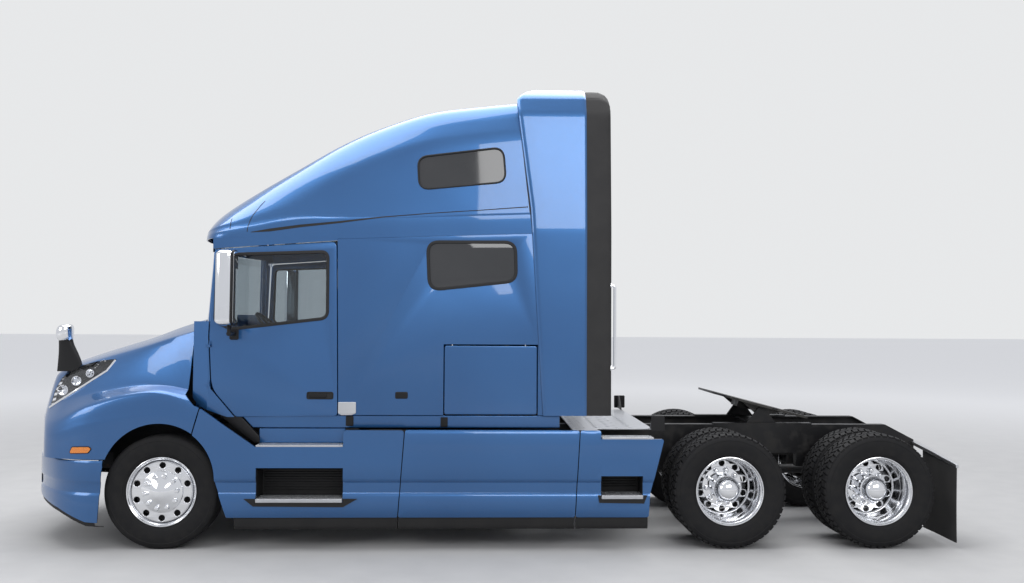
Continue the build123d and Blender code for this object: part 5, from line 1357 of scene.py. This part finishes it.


# Roof side: a dark ribbon of painted shade along the fold over the cab wall, two thin moulding seams and the seam in
# front of the hoop
seams_and_fold_shade = []
# The fold's ribbon is painted shade: a dark strip that stands for the shade in the concave fold
fold_shade_line = [(0.720, 2.742), (0.888, 2.762), (1.148, 2.800), (1.497, 2.838), (1.864, 2.886), (2.285, 2.925),
             (2.725, 2.956), (3.150, 2.990)]
seam_lines = [[(0.814, 3.034), (0.780, 2.990), (0.746, 2.936), (0.720, 2.890), (0.704, 2.848), (0.692, 2.800),
               (0.688, 2.745)],
              [(0.530, 2.873), (0.531, 2.820), (0.532, 2.770)]]
fold_shade_widths = (0.004, 0.026, 0.024, 0.018, 0.010, 0.007, 0.007, 0.009)
ribbons = [ribbon(fold_shade_line, fold_shade_widths)] + [ribbon(line, [0.006] * len(line)) for line in seam_lines]
for _, side in SIDES:
    seams_and_fold_shade += [patch(roof_outlines, loop, side, 0.4, 0.0015, 0.004) for loop in ribbons]
for _, side in SIDES:
    points = []
    for z, y in ((1.152, 1.126), (2.000, 1.126), (2.780, 1.126), (3.830, 1.060), (3.930, 1.022)):
        points += [at(front_of_hoop(z) + a, side * (y + 0.001), z) for a in (-0.014, 0.003)]
    seams_and_fold_shade.append(solid(mesh_of("seam", points, grid_faces(len(points) // 2, 2)), 0.002, 0.0))
finished("roof_seams_and_fold_shade", joined(*seams_and_fold_shade), SEAM_AND_SHADE, sharp=40.0)


# Seats and bunk: stuffed cushions with sewn channels, side bolsters and piping
def cushion(size, power, channels, bolster, count):
    """A stuffed block of a length, width and height about the origin, with sewn channels across its top."""
    channel_depth, channel_width, bolster_start, bolster_width = 0.016, 0.014, 0.62, 0.05
    length, width, height = size
    grid, points, faces = {}, [], []

    def corner(a, b, c):
        key = (round(a, 4), round(b, 4), round(c, 4))
        if key not in grid:
            way = Vector((a, b, c))
            reach = sum(abs(part) ** power for part in way) ** (1.0 / power)
            x, y, z = way.x / reach * length / 2, way.y / reach * width / 2, way.z / reach * height / 2
            if c > 0:
                for place in channels:
                    share = 1.0 if abs(y) < width * 0.32 else 0.25
                    z -= channel_depth * math.exp(-((x - place) / channel_width) ** 2) * share
                edge = abs(y) / (width / 2)
                z -= bolster * math.exp(-((edge - bolster_start) / bolster_width) ** 2) - bolster * 0.2 * (edge > 0.66)
                z -= 0.006 * math.sin(x * 31.0 + 1.7 * math.sin(y * 23.0)) * (1.0 - edge) * 0.6
            grid[key] = len(points)
            points.append((x, y, z))
        return grid[key]

    span = [-1 + 2 * step / count for step in range(count + 1)]
    for axis in range(3):
        for sign in (-1, 1):
            for i in range(count):
                for j in range(count):
                    quad = []
                    for a, b in ((span[i], span[j]), (span[i + 1], span[j]), (span[i + 1], span[j + 1]),
                                 (span[i], span[j + 1])):
                        place = [a, b]
                        place.insert(axis, sign)
                        quad.append(corner(*place))
                    faces.append(tuple(quad if (sign > 0) == (axis != 1) else quad[::-1]))
    return changed(mesh_of("cushion", points, faces), ("SUBSURF", {"levels": 1}))


def piping(size, z_part):
    """Piping round the upper edge of a cushion about the origin."""
    length, width, height = size
    loop = rectangle(-length / 2, length / 2, -width / 2, width / 2, min(length, width) * 0.16)
    return tube([Vector((x * 0.975, y * 0.975, height * z_part)) for x, y in loop], 0.005, 6, True)


def stuffed(name, size, power, channels, bolster, piping_z, place, pitch=0.0, count=18, replaces=None):
    """A cushion with its piping, pitched about Y in degrees and set at a station, a Y and a height."""
    mesh = joined(cushion(size, power, channels, bolster, count), piping(size, piping_z))
    mesh.transform(Matrix.Translation(at(*place)) @ Matrix.Rotation(math.radians(pitch), 4, "Y"))
    finished(name, mesh, SEAT, sharp=60.0, replaces=replaces)


for name, side in SIDES:
    middle = side * 0.490
    stuffed(name + "_seat_cushion", (0.475, 0.46, 0.125), 7, (-0.12, -0.02, 0.08), 0.012, 0.22, (1.165, middle, 1.618),
            -3.0, replaces="seats_and_bunk" if side < 0 else None)
    stuffed(name + "_seat_back", (0.62, 0.45, 0.115), 7, (-0.18, -0.06, 0.06, 0.18), 0.014, 0.22,
            (1.412, middle, 1.965), -82.5)
    shell_line = rounded([(1.440, 1.575), (1.468, 1.575), (1.512, 2.250), (1.494, 2.292), (1.470, 2.250)], 0.006, 3)
    hard = [side_sheet([shell_line], abs(middle) + 0.215, 0.43, 0.01, side)]
    for step in range(7):
        fold = 0.004 * (step % 2)
        ring = rectangle(1.020 + fold, 1.330 - fold, middle - 0.150 + fold, middle + 0.150 - fold, 0.02)
        hard.append(top_sheet([ring], 1.255 + step * 0.045, 0.040, 0.012))
    hard.append(top_sheet([rectangle(0.960, 1.420, middle - 0.200, middle + 0.200, 0.03)], 1.556, 0.020, 0.006))
    for edge in (-0.222, 0.222):
        rest = rounded([(1.130, 1.800), (1.430, 1.800), (1.430, 1.850), (1.130, 1.840)], 0.015, 4)
        hard.append(side_sheet([rest], abs(middle + edge) + 0.022, 0.044, 0.012, side))
    finished(name + "_seat_base", joined(*hard), BLACK, sharp=40.0)
stuffed("bunk_mattress", (0.90, 2.12, 0.17), 9, (-0.3, -0.1, 0.1, 0.3), 0.0, 0.30, (2.980, 0.0, 1.868), count=24)

# Scene: pale floor, soft light and the camera at the photograph's angle
FLOOR_HALF = 120.0
floor_corners = [(x * FLOOR_HALF, y * FLOOR_HALF, 0) for x, y in ((-1, -1), (1, -1), (1, 1), (-1, 1))]
floor_mesh = mesh_of("floor", floor_corners, [(0, 1, 2, 3)])
floor = bpy.data.objects.new("floor", floor_mesh)
bpy.context.scene.collection.objects.link(floor)
floor_finish = Finish("pale_floor", (0.5, 0.5, 0.5), 0.9)
way = floor_finish.node("ShaderNodeVectorMath", {"operation": "LENGTH"}, {0: floor_finish.place()}, output=1)
far = way.step(6.0, 20.0)
near = floor_finish.tint(floor_finish.noise(3.0, 6.0), (0.36, 0.36, 0.365), (0.43, 0.43, 0.43))
floor_finish.colour(floor_finish.tint(far, near, (0.97, 0.97, 0.97)))
floor_mesh.materials.append(floor_finish.material)

world = bpy.data.worlds.new("soft_sky")
world.use_nodes = True
bpy.context.scene.world = world
sky = world.node_tree
light = sky.nodes["Background"]
light.inputs["Color"].default_value = (0.93, 0.95, 1.0, 1.0)
light.inputs["Strength"].default_value = 0.72
white = sky.nodes.new("ShaderNodeBackground")
white.inputs["Color"].default_value = (0.80, 0.81, 0.82, 1.0)
white.inputs["Strength"].default_value = 1.0
path = sky.nodes.new("ShaderNodeLightPath")
mix = sky.nodes.new("ShaderNodeMixShader")
sky.links.new(path.outputs["Is Camera Ray"], mix.inputs[0])
sky.links.new(light.outputs[0], mix.inputs[1])
sky.links.new(white.outputs[0], mix.inputs[2])
sky.links.new(mix.outputs[0], sky.nodes["World Output"].inputs["Surface"])

# Columns: name, place, size, power, what it points at
lamps = [
    ("overhead", (-0.5, 1.0, 9.5), (14.0, 9.0), 1500.0, (0.0, 0.0, 1.5)),
    ("front_side", (-11.0, -7.0, 5.5), (5.0, 4.0), 260.0, (-2.0, 0.0, 1.5)),
    ("camera_side", (4.0, -12.0, 7.0), (9.0, 4.0), 500.0, (1.0, 0.0, 1.5)),
]
for name, place, size, power, target in lamps:
    data = bpy.data.lights.new(name, "AREA")
    data.shape = "RECTANGLE"
    data.size, data.size_y = size
    data.energy = power
    lamp = bpy.data.objects.new(name, data)
    lamp.location = place
    lamp.rotation_euler = (Vector(target) - Vector(place)).to_track_quat("-Z", "Y").to_euler()
    bpy.context.scene.collection.objects.link(lamp)

FOCAL_PIXELS = 909.33
PICTURE_WIDTH = 1024
camera_data = bpy.data.cameras.new("camera")
camera_data.sensor_width = 36.0
camera_data.lens = 36.0 * FOCAL_PIXELS / PICTURE_WIDTH
camera_data.clip_end = 300.0
camera = bpy.data.objects.new("camera", camera_data)
YAW, PITCH, ROLL = math.radians(1.895), math.radians(1.963), math.radians(0.333)
camera.matrix_world = (Matrix.Translation(at(2.747, -9.129, 1.963)) @ Matrix.Rotation(-YAW, 4, "Z")
                       @ Matrix.Rotation(math.radians(90) + PITCH, 4, "X") @ Matrix.Rotation(ROLL, 4, "Z"))
bpy.context.scene.collection.objects.link(camera)
bpy.context.scene.camera = camera
bpy.context.scene.view_settings.view_transform = "Standard"
